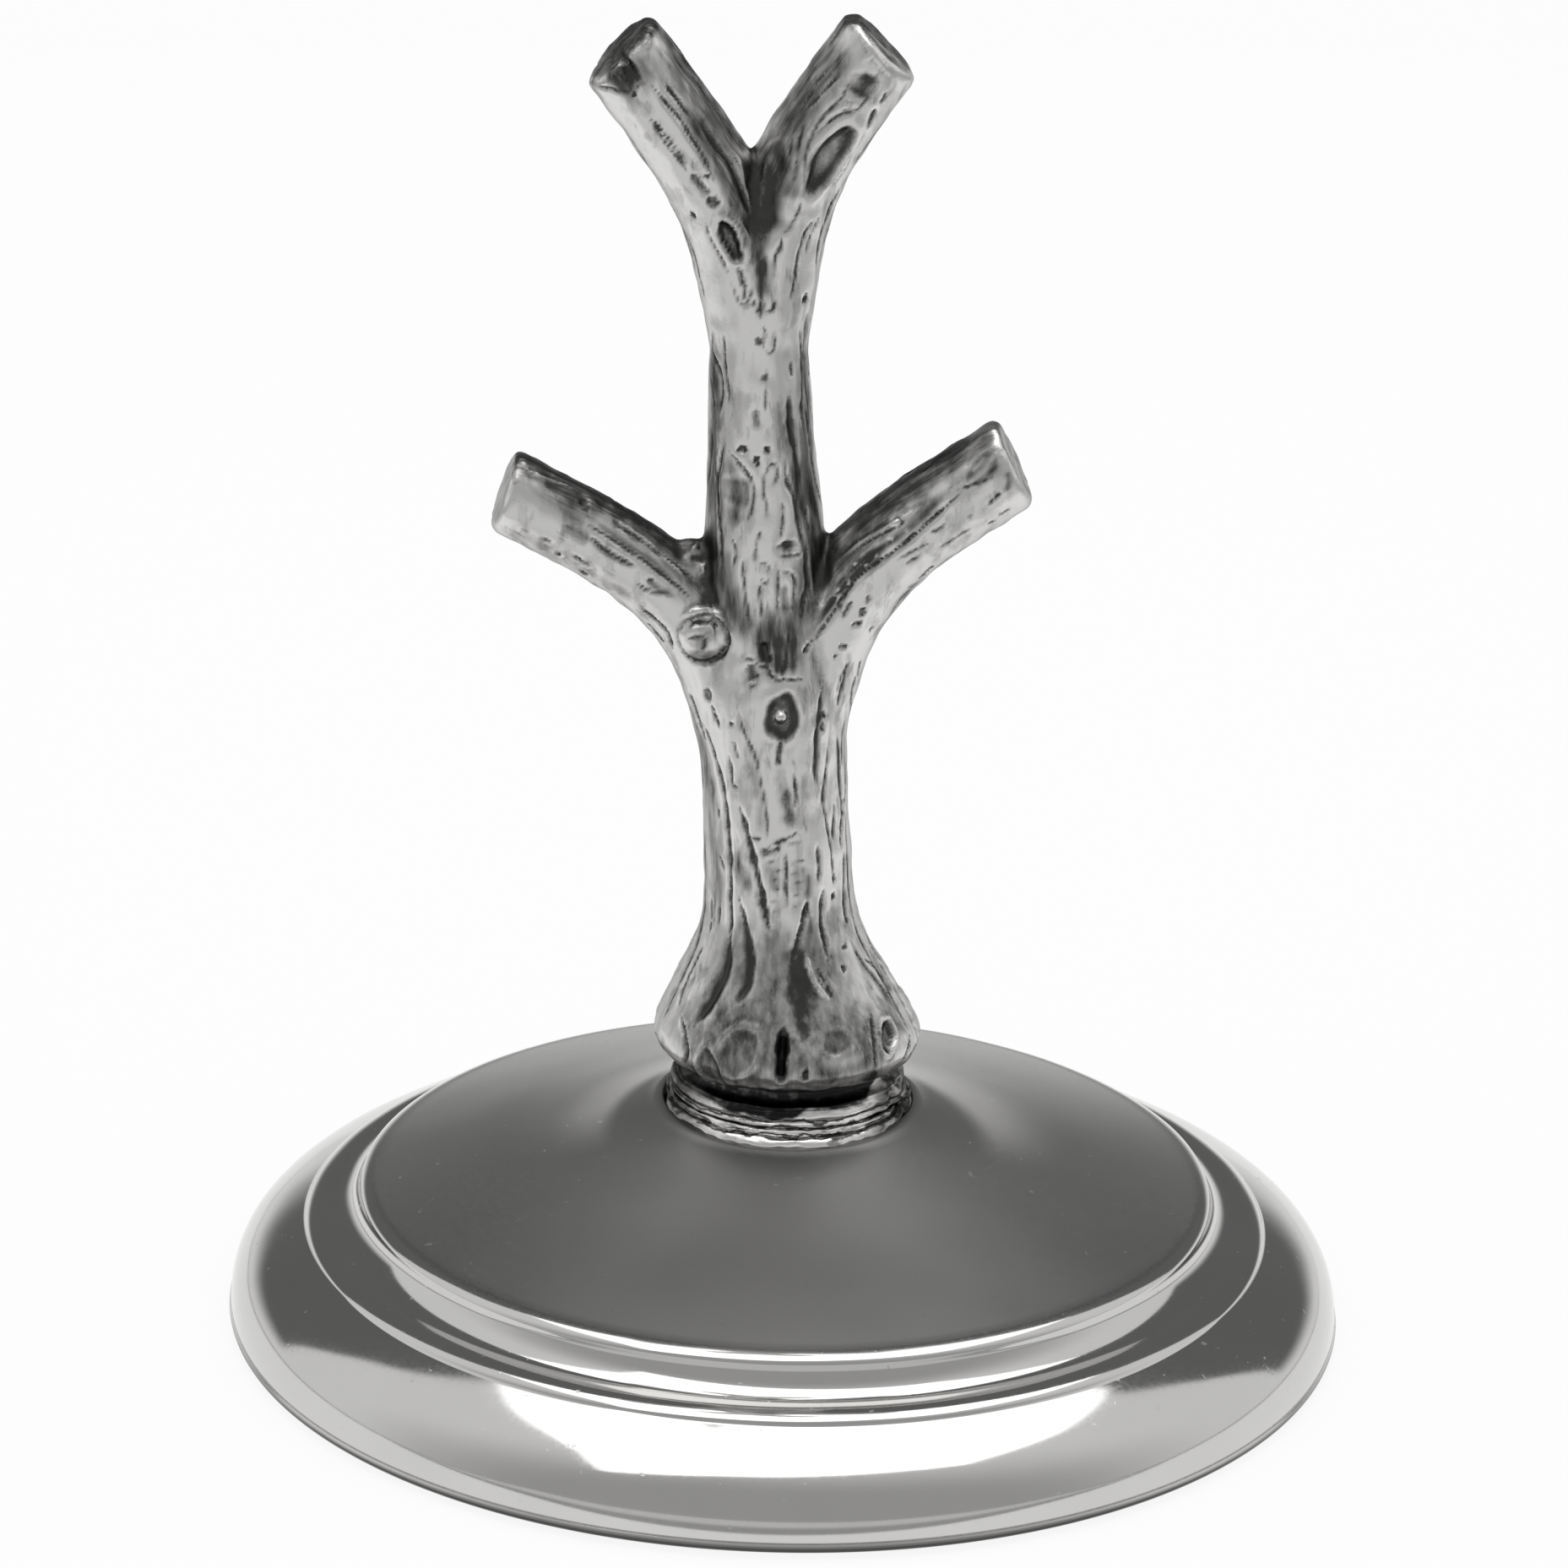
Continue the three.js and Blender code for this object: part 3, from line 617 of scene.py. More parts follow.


# Tree: marks in its surface.
#
# The marks of the front lie on enlargements of the front view. Each view gives the corner
# of its part of the picture and how many times it is enlarged. A mark is its kind, half its
# width in the enlargement, its depth in millimetres and then, one point after the other,
# how far across and down it runs.
# cut: a sharp furrow. dip: a soft hollow. rib: a soft ridge. The darkening kind: dark metal only,
# partly tarnish and partly painted shade and painted dark reflection. The lightening kind: metal
# rubbed clean again, which also serves as a painted highlight.

FRONT_MARKS = {
    "whole": ((0, 0), 1, (
        ("tarnish_and_shade", 10, 0.7, 845, 395, 847, 482, 843, 559, 839, 622),
        ("tarnish_and_shade", 12, 0.62, 951, 395, 953, 457, 958, 533, 965, 597, 970, 625),
        ("tarnish_and_shade", 7, 0.75, 933, 469, 937, 513, 942, 554, 945, 597, 953, 635),
        ("tarnish_and_shade", 14, 0.75, 843, 630, 850, 661, 858, 694, 878, 737, 894, 763),
        ("tarnish_and_shade", 12, 0.8, 958, 610, 963, 648, 955, 686, 950, 724, 940, 758),
        ("tarnish_and_shade", 26, 0.85, 890, 748, 925, 760, 955, 750),
        ("tarnish_and_shade", 18, 0.8, 912, 770, 925, 790, 928, 800),
        ("tarnish_and_shade", 9, 0.9, 640, 556, 700, 584, 751, 610, 802, 638, 815, 650),
        ("tarnish_and_shade", 10, 0.45, 700, 600, 738, 618, 777, 650, 815, 686, 843, 707),
        ("tarnish_and_shade", 9, 0.9, 988, 635, 1032, 610, 1078, 579, 1150, 533),
        ("tarnish_and_shade", 12, 0.6, 981, 673, 1019, 640, 1057, 615),
        ("tarnish_and_shade", 10, 0.85, 968, 635, 978, 665, 981, 699),
        ("tarnish_and_shade", 13, 0.45, 819, 832, 831, 883, 839, 924, 843, 965, 847, 1026, 851, 1058, 850,
            1110),
        ("tarnish_and_shade", 9, 0.4, 862, 1005, 876, 1030, 890, 1058),
        ("tarnish_and_shade", 6, 0.3, 882, 854, 902, 945, 909, 1001),
        ("tarnish_and_shade", 10, 0.3, 923, 924, 935, 944, 939, 965, 937, 989),
        ("tarnish_and_shade", 4, 0.7, 973, 826, 968, 871, 965, 903, 967, 924),
        ("tarnish_and_shade", 4, 0.85, 993, 873, 996, 944),
        ("tarnish_and_shade", 3, 0.7, 1002, 842, 1003, 934),
        ("tarnish_and_shade", 12, 0.3, 912, 1020, 918, 1060),
        ("tarnish_and_shade", 12, 0.3, 945, 1025, 948, 1060),
        ("tarnish_and_shade", 20, 0.64, 785, 50, 822, 105, 855, 150, 885, 195),
        ("tarnish_and_shade", 13, 0.68, 800, 110, 838, 165, 868, 215, 890, 270, 902, 330),
        ("tarnish_and_shade", 22, 0.66, 998, 42, 973, 85, 945, 130, 918, 170),
        ("bare", 17, 0.72, 1010, 28, 1046, 56, 1080, 86),
        ("bare", 14, 0.7, 1140, 522, 1176, 500, 1196, 540, 1212, 580),
        ("tarnish_and_shade", 5, 0.6, 810, 1218, 812, 1261, 820, 1288),
        ("tarnish_and_shade", 12, 0.45, 828, 1262, 842, 1272),
        ("tarnish_and_shade", 22, 0.35, 868, 1240, 876, 1256),
        ("tarnish_and_shade", 11, 0.95, 1004, 1296, 1022, 1284, 1040, 1268),
        ("tarnish_and_shade", 17, 0.45, 982, 1232, 1000, 1232),
        ("tarnish_and_shade", 5, 0.6, 1006, 1115, 1026, 1147, 1048, 1178, 1062, 1196),
        ("tarnish_and_shade", 5, 0.75, 1030, 1195, 1034, 1231, 1037, 1262),
        ("tarnish_and_shade", 60, 0.5, 800, 1215, 870, 1240, 940, 1250, 1020, 1240, 1060, 1210),
        ("tarnish_and_shade", 48, 0.4, 830, 1140, 900, 1160, 960, 1150, 1020, 1170),
    )),
    "upper fork": ((740, 0), 3.92, (
        ("cut", 14, 0.25, 120, 395, 165, 450, 200, 490, 250, 540, 290, 610, 350, 700, 395, 790,
            412, 845),
        ("rib", 30, 0.12, 100, 400, 180, 500, 260, 620, 330, 730, 380, 840),
        ("cut", 16, 0.26, 190, 390, 230, 440, 265, 490, 300, 540),
        ("dip", 26, 0.32, 330, 520, 390, 620, 450, 700, 520, 790, 560, 900, 610, 1040, 625, 1150),
        ("cut", 11, 0.15, 460, 660, 520, 740, 560, 820),
        ("cut", 14, 0.22, 120, 550, 160, 620, 200, 680, 250, 740, 285, 790),
        ("dip", 20, 0.3, 290, 800, 340, 850, 385, 900, 405, 935),
        ("rib", 11, 0.18, 490, 975, 540, 1040, 570, 1090, 578, 1180, 560, 1250),
        ("cut", 14, 0.3, 520, 1225, 545, 1300, 555, 1380, 575, 1420),
        ("cut", 9, 0.15, 570, 1310, 585, 1370, 605, 1420, 635, 1490),
        ("cut", 9, 0.12, 495, 1300, 510, 1370, 540, 1415, 580, 1425, 600, 1405),
        ("cut", 9, 0.15, 375, 1020, 395, 1110, 450, 1200, 490, 1290),
        ("cut", 11, 0.2, 230, 980, 280, 1090, 320, 1180, 350, 1280, 370, 1380),
        ("dip", 90, 0.5, 690, 640, 690, 780, 670, 920, 660, 1050, 655, 1170),
        ("tarnish_and_shade", 130, 0.62, 690, 640, 690, 800, 668, 950),
        ("tarnish_and_shade", 62, 0.8, 665, 740, 665, 860, 655, 980, 652, 1100),
        ("tarnish_and_shade", 34, 0.7, 650, 1180, 640, 1290, 635, 1400),
        ("cut", 18, 0.28, 650, 1180, 635, 1290, 635, 1400, 630, 1480),
        ("cut", 14, 0.2, 740, 700, 720, 820, 710, 960),
        ("rib", 11, 0.16, 645, 720, 630, 880, 625, 1020),
        ("cut", 12, 0.2, 780, 620, 760, 760, 745, 900),
        ("cut", 12, 0.24, 830, 580, 800, 680, 790, 800, 780, 900),
        ("cut", 12, 0.25, 880, 590, 845, 700, 828, 820, 822, 945, 790, 1020, 755, 1075, 735, 1080,
            725, 1150, 695, 1190, 690, 1280),
        ("cut", 9, 0.12, 700, 1390, 690, 1440, 650, 1450),
        ("rib", 12, 0.22, 1050, 640, 1035, 740, 980, 830, 890, 895, 840, 940),
        ("dip", 55, 0.35, 1130, 330, 1110, 400, 1070, 470),
        ("tarnish_and_shade", 50, 0.5, 1140, 330, 1110, 400, 1070, 460),
        ("cut", 11, 0.24, 1185, 350, 1150, 430, 1100, 495, 1060, 520, 1000, 530, 940, 570, 890,
            620),
        ("cut", 11, 0.18, 1010, 330, 960, 390, 900, 450, 850, 500),
        ("cut", 11, 0.18, 1065, 350, 1030, 410, 1000, 470, 940, 520, 890, 580, 865, 650),
        ("cut", 9, 0.14, 960, 300, 900, 370, 860, 440, 820, 500),
        ("cut", 14, 0.24, 1212, 435, 1190, 480),
        ("cut", 13, 0.2, 1165, 500, 1140, 555, 1128, 600),
        ("cut", 13, 0.25, 880, 1015, 835, 1080, 805, 1180, 795, 1290, 770, 1390),
        ("cut", 9, 0.14, 905, 1000, 860, 1090, 840, 1180),
        ("cut", 14, 0.25, 1000, 870, 955, 960, 915, 1060, 895, 1170, 885, 1250),
        ("cut", 9, 0.15, 960, 1010, 925, 1120, 905, 1230),
        ("rib", 12, 0.22, 1078, 125, 1130, 210, 1190, 300, 1250, 370),
    )),
    "upper left end": ((640, 20), 5.81, (
        ("dip", 110, 0.5, 540, 370, 600, 350, 650, 320),
        ("tarnish_and_shade", 110, 1.0, 440, 440, 560, 400, 660, 360, 700, 300),
        ("tarnish_and_shade", 60, 0.6, 560, 260, 640, 180, 690, 110),
        ("cut", 18, 0.3, 390, 480, 450, 490, 520, 512, 600, 520, 670, 485, 735, 455),
        ("cut", 18, 0.25, 335, 500, 420, 600, 520, 740, 600, 850, 700, 990, 800, 1130, 880, 1260,
            960, 1420, 1010, 1540),
        ("cut", 16, 0.2, 860, 470, 920, 550, 990, 620),
        ("cut", 18, 0.2, 745, 690, 810, 760, 880, 830, 940, 920, 980, 990, 1010, 1040),
        ("rib", 20, 0.22, 745, 100, 738, 160, 720, 230),
    )),
    "leader": ((740, 380), 3.92, (
        ("cut", 13, 0.25, 410, 40, 405, 150, 450, 250, 455, 330, 440, 420, 438, 450),
        ("cut", 13, 0.22, 455, 60, 462, 150, 470, 240, 480, 330, 490, 400),
        ("cut", 11, 0.2, 400, 260, 410, 330, 420, 400),
        ("dip", 26, 0.25, 400, 330, 400, 480, 390, 640, 380, 780, 370, 900),
        ("tarnish_and_shade", 26, 0.6, 398, 440, 390, 600, 385, 720, 375, 860, 370, 950),
        ("rib", 9, 0.15, 455, 470, 445, 560, 430, 660, 420, 780),
        ("cut", 11, 0.25, 470, 560, 445, 640, 432, 740, 432, 860, 440, 960, 450, 1100, 455, 1180),
        ("cut", 13, 0.28, 480, 600, 510, 640, 550, 685, 590, 740, 600, 820, 588, 880, 570, 930),
        ("dip", 60, 0.16, 520, 700, 520, 800, 510, 880),
        ("tarnish_and_shade", 34, 0.5, 480, 640, 500, 700, 525, 790, 520, 870, 500, 960),
        ("tarnish_and_shade", 22, 0.45, 545, 720, 565, 790, 560, 860),
        ("rib", 14, 0.12, 490, 590, 560, 650, 610, 730, 625, 800),
        ("cut", 12, 0.2, 515, 590, 545, 597, 580, 602),
        ("cut", 9, 0.15, 640, 700, 650, 740, 640, 800, 660, 860, 665, 940),
        ("cut", 9, 0.15, 655, 730, 660, 690, 690, 655, 715, 700, 700, 750, 670, 770),
        ("cut", 9, 0.15, 650, 205, 652, 280, 655, 350, 650, 430),
        ("cut", 9, 0.14, 640, 20, 655, 60, 640, 130, 680, 155, 700, 110, 690, 40),
        ("dip", 20, 0.15, 600, 400, 610, 460, 620, 510),
        ("cut", 22, 0.45, 765, 345, 768, 430, 775, 520, 790, 600, 800, 690),
        ("cut", 13, 0.25, 815, 40, 820, 130, 822, 230, 825, 330, 815, 430, 830, 520),
        ("cut", 11, 0.2, 770, 190, 775, 260),
        ("cut", 11, 0.25, 855, 60, 852, 200, 855, 330, 870, 450, 890, 580, 910, 700, 925, 820, 945,
            920),
        ("cut", 11, 0.22, 830, 380, 850, 480, 860, 600, 880, 700, 900, 800, 920, 900),
        ("cut", 15, 0.3, 740, 640, 750, 740, 785, 820, 800, 900, 815, 980, 840, 1060, 850, 1150),
        ("cut", 11, 0.2, 840, 860, 850, 940, 860, 980),
        ("cut", 10, 0.16, 730, 840, 740, 880, 730, 950, 725, 1010),
        ("dip", 40, 0.3, 750, 1020, 755, 1070),
        ("tarnish_and_shade", 42, 0.55, 735, 1050, 785, 1055),
        ("cut", 10, 0.2, 700, 1085, 760, 1092, 810, 1085, 830, 1060),
        ("cut", 12, 0.25, 715, 1150, 710, 1230, 708, 1300, 705, 1380),
        ("cut", 12, 0.25, 720, 1160, 770, 1170, 790, 1200, 785, 1290, 770, 1370),
        ("dip", 30, 0.2, 745, 1200, 745, 1380),
        ("cut", 10, 0.18, 640, 960, 615, 1010, 605, 1070, 600, 1130),
        ("cut", 9, 0.16, 620, 1120, 660, 1130, 680, 1180, 655, 1230, 625, 1190),
        ("cut", 11, 0.2, 630, 1200, 625, 1300, 640, 1400),
        ("cut", 11, 0.2, 545, 1110, 550, 1200, 560, 1300, 575, 1400),
        ("cut", 10, 0.18, 490, 1000, 520, 1060, 500, 1150),
        ("cut", 15, 0.3, 840, 1100, 850, 1200, 860, 1280),
        ("cut", 12, 0.22, 830, 1250, 820, 1350),
        ("tarnish_and_shade", 46, 0.8, 870, 960, 890, 1060, 880, 1180, 890, 1280),
        ("tarnish_and_shade", 40, 0.8, 395, 1000, 400, 1100, 395, 1200, 420, 1300),
    )),
    "lower left branch": ((560, 620), 4.61, (
        ("cut", 14, 0.22, 380, 80, 430, 110),
        ("cut", 17, 0.3, 640, 70, 700, 130, 760, 170, 830, 210, 880, 230),
        ("tarnish_and_shade", 26, 0.5, 480, 10, 560, 50, 650, 110),
        ("cut", 12, 0.25, 555, 180, 600, 215, 640, 235),
        ("cut", 15, 0.25, 620, 0, 720, 60, 800, 110, 870, 160, 950, 210, 1000, 250, 1060, 300,
            1120, 340, 1180, 400),
        ("cut", 13, 0.22, 760, 0, 850, 40, 940, 100, 1020, 160, 1100, 220, 1170, 280, 1230, 310),
        ("cut", 11, 0.2, 900, 330, 960, 370, 1020, 380, 1100, 395),
        ("cut", 12, 0.2, 950, 300, 990, 320),
        ("cut", 13, 0.25, 905, 440, 960, 500, 1040, 560, 1080, 620, 1090, 690),
        ("cut", 11, 0.25, 950, 540, 1000, 600, 1040, 660),
        ("cut", 11, 0.15, 590, 255, 630, 290),
        ("tarnish_and_shade", 52, 0.75, 860, 10, 960, 60, 1060, 120, 1130, 190, 1190, 260),
        ("tarnish_and_shade", 60, 1.0, 1270, 40, 1290, 140, 1300, 240),
        ("rib", 40, 0.2, 1200, 120, 1230, 130),
        ("rib", 30, 0.16, 1245, 240, 1270, 245),
        ("tarnish_and_shade", 60, 0.7, 1240, 380, 1330, 400, 1330, 330),
        ("rib", 24, 0.4, 1130, 530, 1190, 485, 1270, 465, 1350, 490, 1395, 560),
        ("cut", 15, 0.4, 1170, 560, 1230, 530, 1300, 532, 1355, 565),
        ("cut", 14, 0.45, 1375, 560, 1398, 610, 1396, 670, 1355, 725, 1290, 758, 1205, 752, 1140,
            700),
        ("tarnish_and_shade", 80, 0.34, 1235, 590, 1275, 650),
        ("cut", 12, 0.18, 1170, 620, 1220, 600, 1270, 620, 1260, 680, 1200, 700),
        ("cut", 10, 0.12, 1300, 1000, 1330, 1060, 1350, 1110),
        ("cut", 11, 0.22, 1400, 1092, 1430, 1105),
        ("cut", 14, 0.25, 1180, 920, 1210, 1010, 1240, 1100, 1270, 1190),
    )),
    "lower right branch": ((880, 580), 4.75, (
        ("cut", 16, 0.5, 400, 850, 440, 790, 500, 700, 550, 620, 600, 540, 660, 480, 740, 420, 800,
            380, 870, 330, 960, 260, 1050, 180, 1130, 100, 1230, 10),
        ("rib", 14, 0.2, 450, 640, 530, 560, 600, 480, 680, 400, 760, 350),
        ("tarnish_and_shade", 55, 0.85, 600, 260, 720, 165, 840, 90, 980, 10),
        ("tarnish_and_shade", 70, 0.6, 500, 460, 600, 360, 720, 300),
        ("tarnish_and_shade", 60, 1.0, 470, 260, 520, 300, 560, 290),
        ("cut", 12, 0.2, 640, 330, 720, 280, 800, 240, 880, 200),
        ("cut", 10, 0.18, 830, 180, 870, 150, 900, 180, 880, 210),
        ("cut", 15, 0.25, 560, 720, 590, 660, 620, 620),
        ("cut", 12, 0.2, 530, 690, 570, 620),
        ("cut", 11, 0.2, 1060, 240, 1110, 220, 1140, 190),
        ("cut", 15, 0.3, 1380, 85, 1420, 45, 1450, 20),
        ("cut", 12, 0.22, 1260, 165, 1290, 145),
        ("cut", 12, 0.22, 1430, 150, 1490, 115),
        ("cut", 10, 0.18, 1385, 195, 1405, 180),
        ("cut", 17, 0.3, 990, 505, 1030, 460, 1080, 425),
        ("cut", 10, 0.15, 920, 560, 950, 540),
        ("cut", 9, 0.1, 850, 400, 950, 350, 1050, 300),
        ("cut", 9, 0.1, 900, 420, 1000, 370),
        ("cut", 9, 0.1, 1100, 330, 1200, 270, 1280, 220),
        ("cut", 11, 0.2, 600, 960, 575, 1030, 560, 1100, 545, 1160, 530, 1220),
        ("cut", 11, 0.2, 640, 1000, 620, 1100, 605, 1200, 595, 1300),
        ("cut", 9, 0.14, 660, 960, 640, 1060),
        ("dip", 30, 0.5, 110, 850, 130, 930, 140, 1000),
        ("tarnish_and_shade", 40, 1.0, 90, 840, 110, 920, 120, 980),
        ("dip", 38, 0.14, 200, 800, 200, 930, 190, 1060),
        ("tarnish_and_shade", 34, 0.56, 200, 770, 200, 900, 190, 1050),
        ("cut", 12, 0.35, 262, 800, 252, 900, 240, 980, 215, 1060),
        ("dip", 30, 0.14, 290, 800, 285, 940, 280, 1060),
        ("tarnish_and_shade", 28, 0.56, 300, 770, 290, 900, 285, 1050),
        ("rib", 9, 0.2, 140, 850, 160, 950, 180, 1050),
        ("cut", 13, 0.28, 60, 960, 90, 1000, 130, 990, 160, 1060, 220, 1072, 240, 1060, 300, 1078,
            340, 1060),
        ("cut", 14, 0.3, 345, 930, 360, 880, 385, 850),
        ("cut", 13, 0.25, 345, 300, 355, 400, 365, 500, 345, 640, 325, 740),
    )),
    "bole": ((780, 740), 4.127, (
        ("cut", 26, 0.4, 600, 560, 590, 620, 582, 690),
        ("cut", 14, 0.16, 395, 420, 410, 520, 450, 590, 475, 660, 495, 760, 515, 850, 530, 950,
            535, 1050),
        ("dip", 30, 0.12, 430, 640, 460, 760, 480, 880),
        ("cut", 15, 0.3, 800, 300, 790, 400, 785, 480, 770, 560, 770, 620, 760, 680, 770, 780),
        ("cut", 14, 0.25, 660, 730, 670, 800, 672, 870, 650, 920),
        ("dip", 30, 0.2, 620, 790, 630, 860, 640, 920, 655, 1000),
        ("cut", 9, 0.14, 600, 850, 625, 900, 650, 930),
        ("cut", 10, 0.2, 690, 1000, 660, 1030, 600, 1060, 530, 1085),
        ("cut", 18, 0.3, 190, 440, 250, 560, 290, 680, 320, 800, 335, 950, 345, 1080, 350, 1200,
            350, 1350, 345, 1540),
        ("cut", 24, 0.45, 395, 880, 420, 980, 450, 1080, 475, 1200, 505, 1310, 530, 1420, 545,
            1500),
        ("cut", 12, 0.2, 300, 1130, 320, 1210),
        ("cut", 13, 0.22, 345, 640, 355, 700, 360, 790, 395, 800),
        ("cut", 10, 0.18, 365, 565, 380, 620, 385, 660),
        ("cut", 10, 0.2, 345, 485, 370, 495),
        ("cut", 9, 0.12, 255, 380, 290, 450, 305, 520),
        ("cut", 12, 0.2, 620, 1100, 625, 1200, 628, 1300, 620, 1400),
        ("cut", 10, 0.2, 470, 1120, 540, 1110, 600, 1095),
        ("cut", 10, 0.2, 440, 1050, 500, 1045),
        ("cut", 14, 0.3, 770, 1060, 780, 1130, 785, 1200, 775, 1260),
        ("cut", 16, 0.35, 805, 1290, 795, 1370, 790, 1450, 805, 1560),
        ("cut", 15, 0.35, 735, 1340, 720, 1420, 700, 1490, 680, 1560),
        ("cut", 13, 0.25, 835, 560, 825, 650, 815, 760, 800, 860, 820, 950, 840, 1060, 850, 1150,
            860, 1250),
        ("cut", 16, 0.35, 880, 560, 885, 680, 890, 800, 905, 900, 895, 1000, 890, 1100),
        ("cut", 10, 0.25, 920, 560, 915, 700, 910, 850, 905, 1000),
        ("cut", 12, 0.25, 860, 870, 860, 960, 855, 1050),
        ("cut", 15, 0.3, 905, 1090, 910, 1200, 905, 1300, 915, 1420),
        ("cut", 10, 0.15, 870, 330, 890, 260, 930, 180),
        ("cut", 10, 0.18, 255, 1340, 255, 1440),
        ("cut", 11, 0.2, 295, 1370, 293, 1460),
        ("cut", 10, 0.18, 290, 900, 295, 950),
        ("dip", 40, 0.3, 440, 180, 460, 250, 480, 290),
        ("cut", 14, 0.25, 400, 150, 470, 180, 500, 210, 540, 230),
        ("cut", 14, 0.2, 480, 240, 490, 290, 440, 310),
    )),
    "trunk": ((762, 725), 2.274, (
        ("cut", 3, 0.07, 300, 641, 345, 636, 385, 626, 425, 620),
        ("cut", 3, 0.06, 310, 656, 338, 654, 365, 648),
        ("cut", 3, 0.06, 395, 681, 415, 672, 437, 668),
        ("cut", 3, 0.06, 330, 677, 352, 670, 374, 668),
        ("cut", 3, 0.06, 334, 702, 355, 699, 377, 696),
        ("cut", 3, 0.06, 395, 706, 415, 702, 434, 695),
        ("cut", 3, 0.06, 336, 727, 352, 722, 371, 721),
        ("cut", 3, 0.06, 395, 737, 413, 729, 431, 727),
        ("cut", 3, 0.06, 340, 752, 355, 748, 370, 749),
        ("cut", 3, 0.06, 400, 766, 420, 760, 445, 752),
        ("cut", 3, 0.06, 336, 776, 350, 779, 364, 777),
        ("cut", 3, 0.06, 395, 796, 420, 790, 450, 791),
        ("cut", 3, 0.06, 346, 806, 360, 803, 374, 800),
        ("cut", 4, 0.08, 378, 655, 383, 705, 378, 760, 371, 805),
        ("dip", 20, 0.4, 224, 880, 227, 930, 213, 980, 190, 1030, 160, 1075, 130, 1115),
        ("tarnish_and_shade", 21, 0.8, 226, 860, 228, 930, 213, 980, 190, 1030, 160, 1075, 128, 1118),
        ("cut", 7, 0.35, 238, 700, 236, 800, 230, 900, 220, 965, 195, 1030),
        ("dip", 18, 0.35, 270, 830, 287, 920, 284, 985, 262, 1035, 232, 1070),
        ("tarnish_and_shade", 18, 0.75, 262, 800, 287, 920, 285, 985, 262, 1035, 232, 1070),
        ("cut", 6, 0.3, 255, 760, 272, 830, 288, 900, 286, 960),
        ("tarnish_and_shade", 9, 0.45, 312, 985, 300, 1040, 296, 1095),
        ("dip", 36, 0.42, 413, 905, 414, 960, 418, 1015, 425, 1065, 430, 1130, 430, 1190),
        ("tarnish_and_shade", 29, 0.95, 416, 885, 410, 950, 412, 1010, 415, 1060),
        ("tarnish_and_shade", 26, 0.92, 424, 925, 436, 980, 452, 1025, 470, 1055),
        ("tarnish_and_shade", 42, 0.78, 405, 1000, 425, 1050, 450, 1095),
        ("cut", 8, 0.35, 440, 775, 428, 830, 412, 890, 398, 950, 390, 1020, 384, 1080),
        ("cut", 10, 0.3, 425, 1100, 436, 1125, 444, 1150),
        ("tarnish_and_shade", 12, 0.8, 425, 1095, 436, 1125, 446, 1152),
        ("rib", 10, 0.35, 432, 900, 444, 965, 470, 1015, 505, 1052),
        ("bare", 9, 0.75, 432, 915, 448, 970, 474, 1020, 508, 1052),
        ("bare", 8, 0.6, 384, 1085, 398, 1100, 408, 1125),
        ("tarnish_and_shade", 12, 0.6, 352, 1030, 346, 1120, 350, 1200, 352, 1270),
        ("cut", 24, 1.0, 379, 1110, 375, 1160, 371, 1220, 370, 1274),
        ("tarnish_and_shade", 19, 1.45, 379, 1116, 375, 1160, 371, 1220, 370, 1274),
        ("bare", 16, 0.6, 415, 1165, 450, 1176, 480, 1190),
        ("bare", 13, 0.6, 480, 1210, 540, 1215, 600, 1195),
        ("tarnish_and_shade", 12, 0.55, 455, 1240, 500, 1244, 550, 1240),
        ("bare", 6, 0.7, 425, 1268, 480, 1274, 560, 1262, 600, 1245),
        ("tarnish_and_shade", 10, 0.5, 440, 700, 447, 740, 440, 780),
    )),
    "left crotch": ((560, 500), 3.92, (
        ("tarnish_and_shade", 34, 0.42, 270, 290, 360, 330, 440, 400, 500, 470),
        ("tarnish_and_shade", 22, 0.9, 505, 360, 525, 385, 525, 420),
        ("dip", 20, 0.22, 500, 350, 530, 390),
        ("tarnish_and_shade", 15, 0.62, 550, 440, 610, 500, 690, 550, 770, 605, 850, 660, 930, 735, 990, 800),
        ("tarnish_and_shade", 17, 0.6, 800, 735, 860, 775, 935, 805),
        ("tarnish_and_shade", 14, 0.55, 550, 565, 620, 605, 690, 640, 750, 665),
        ("tarnish_and_shade", 40, 0.8, 990, 620, 1040, 640, 1100, 620, 1110, 560),
        ("tarnish_and_shade", 34, 0.62, 1060, 760, 1120, 800, 1140, 860),
        ("dip", 20, 0.16, 1000, 615, 1060, 640, 1095, 625),
        ("rib", 7, 0.12, 230, 185, 260, 232, 330, 255, 420, 290, 500, 325),
        ("bare", 8, 0.75, 225, 170, 245, 225, 320, 252, 420, 288, 500, 322),
        ("rib", 7, 0.14, 640, 440, 720, 490, 800, 548, 870, 608, 950, 680, 1020, 728, 1090, 745),
        ("bare", 8, 0.7, 640, 440, 720, 490, 800, 548, 870, 608, 950, 680, 1020, 728, 1092, 745),
        ("bare", 5, 0.7, 248, 245, 246, 335),
        ("bare", 12, 0.7, 1040, 662, 1075, 668),
        ("tarnish_and_shade", 20, 0.6, 1150, 880, 1190, 930, 1200, 990),
    )),
    "right crotch": ((940, 480), 4.13, (
        ("dip", 26, 0.26, 120, 1080, 180, 970, 245, 870, 320, 790, 400, 715, 480, 660, 560, 605),
        ("tarnish_and_shade", 30, 0.78, 110, 1110, 165, 1000, 235, 890, 310, 805, 395, 725, 480, 670),
        ("tarnish_and_shade", 24, 0.7, 440, 700, 530, 640, 610, 570, 680, 500, 745, 430),
        ("tarnish_and_shade", 26, 0.5, 200, 760, 280, 690, 360, 640),
        ("tarnish_and_shade", 20, 0.7, 845, 375, 885, 305, 950, 235, 990, 240),
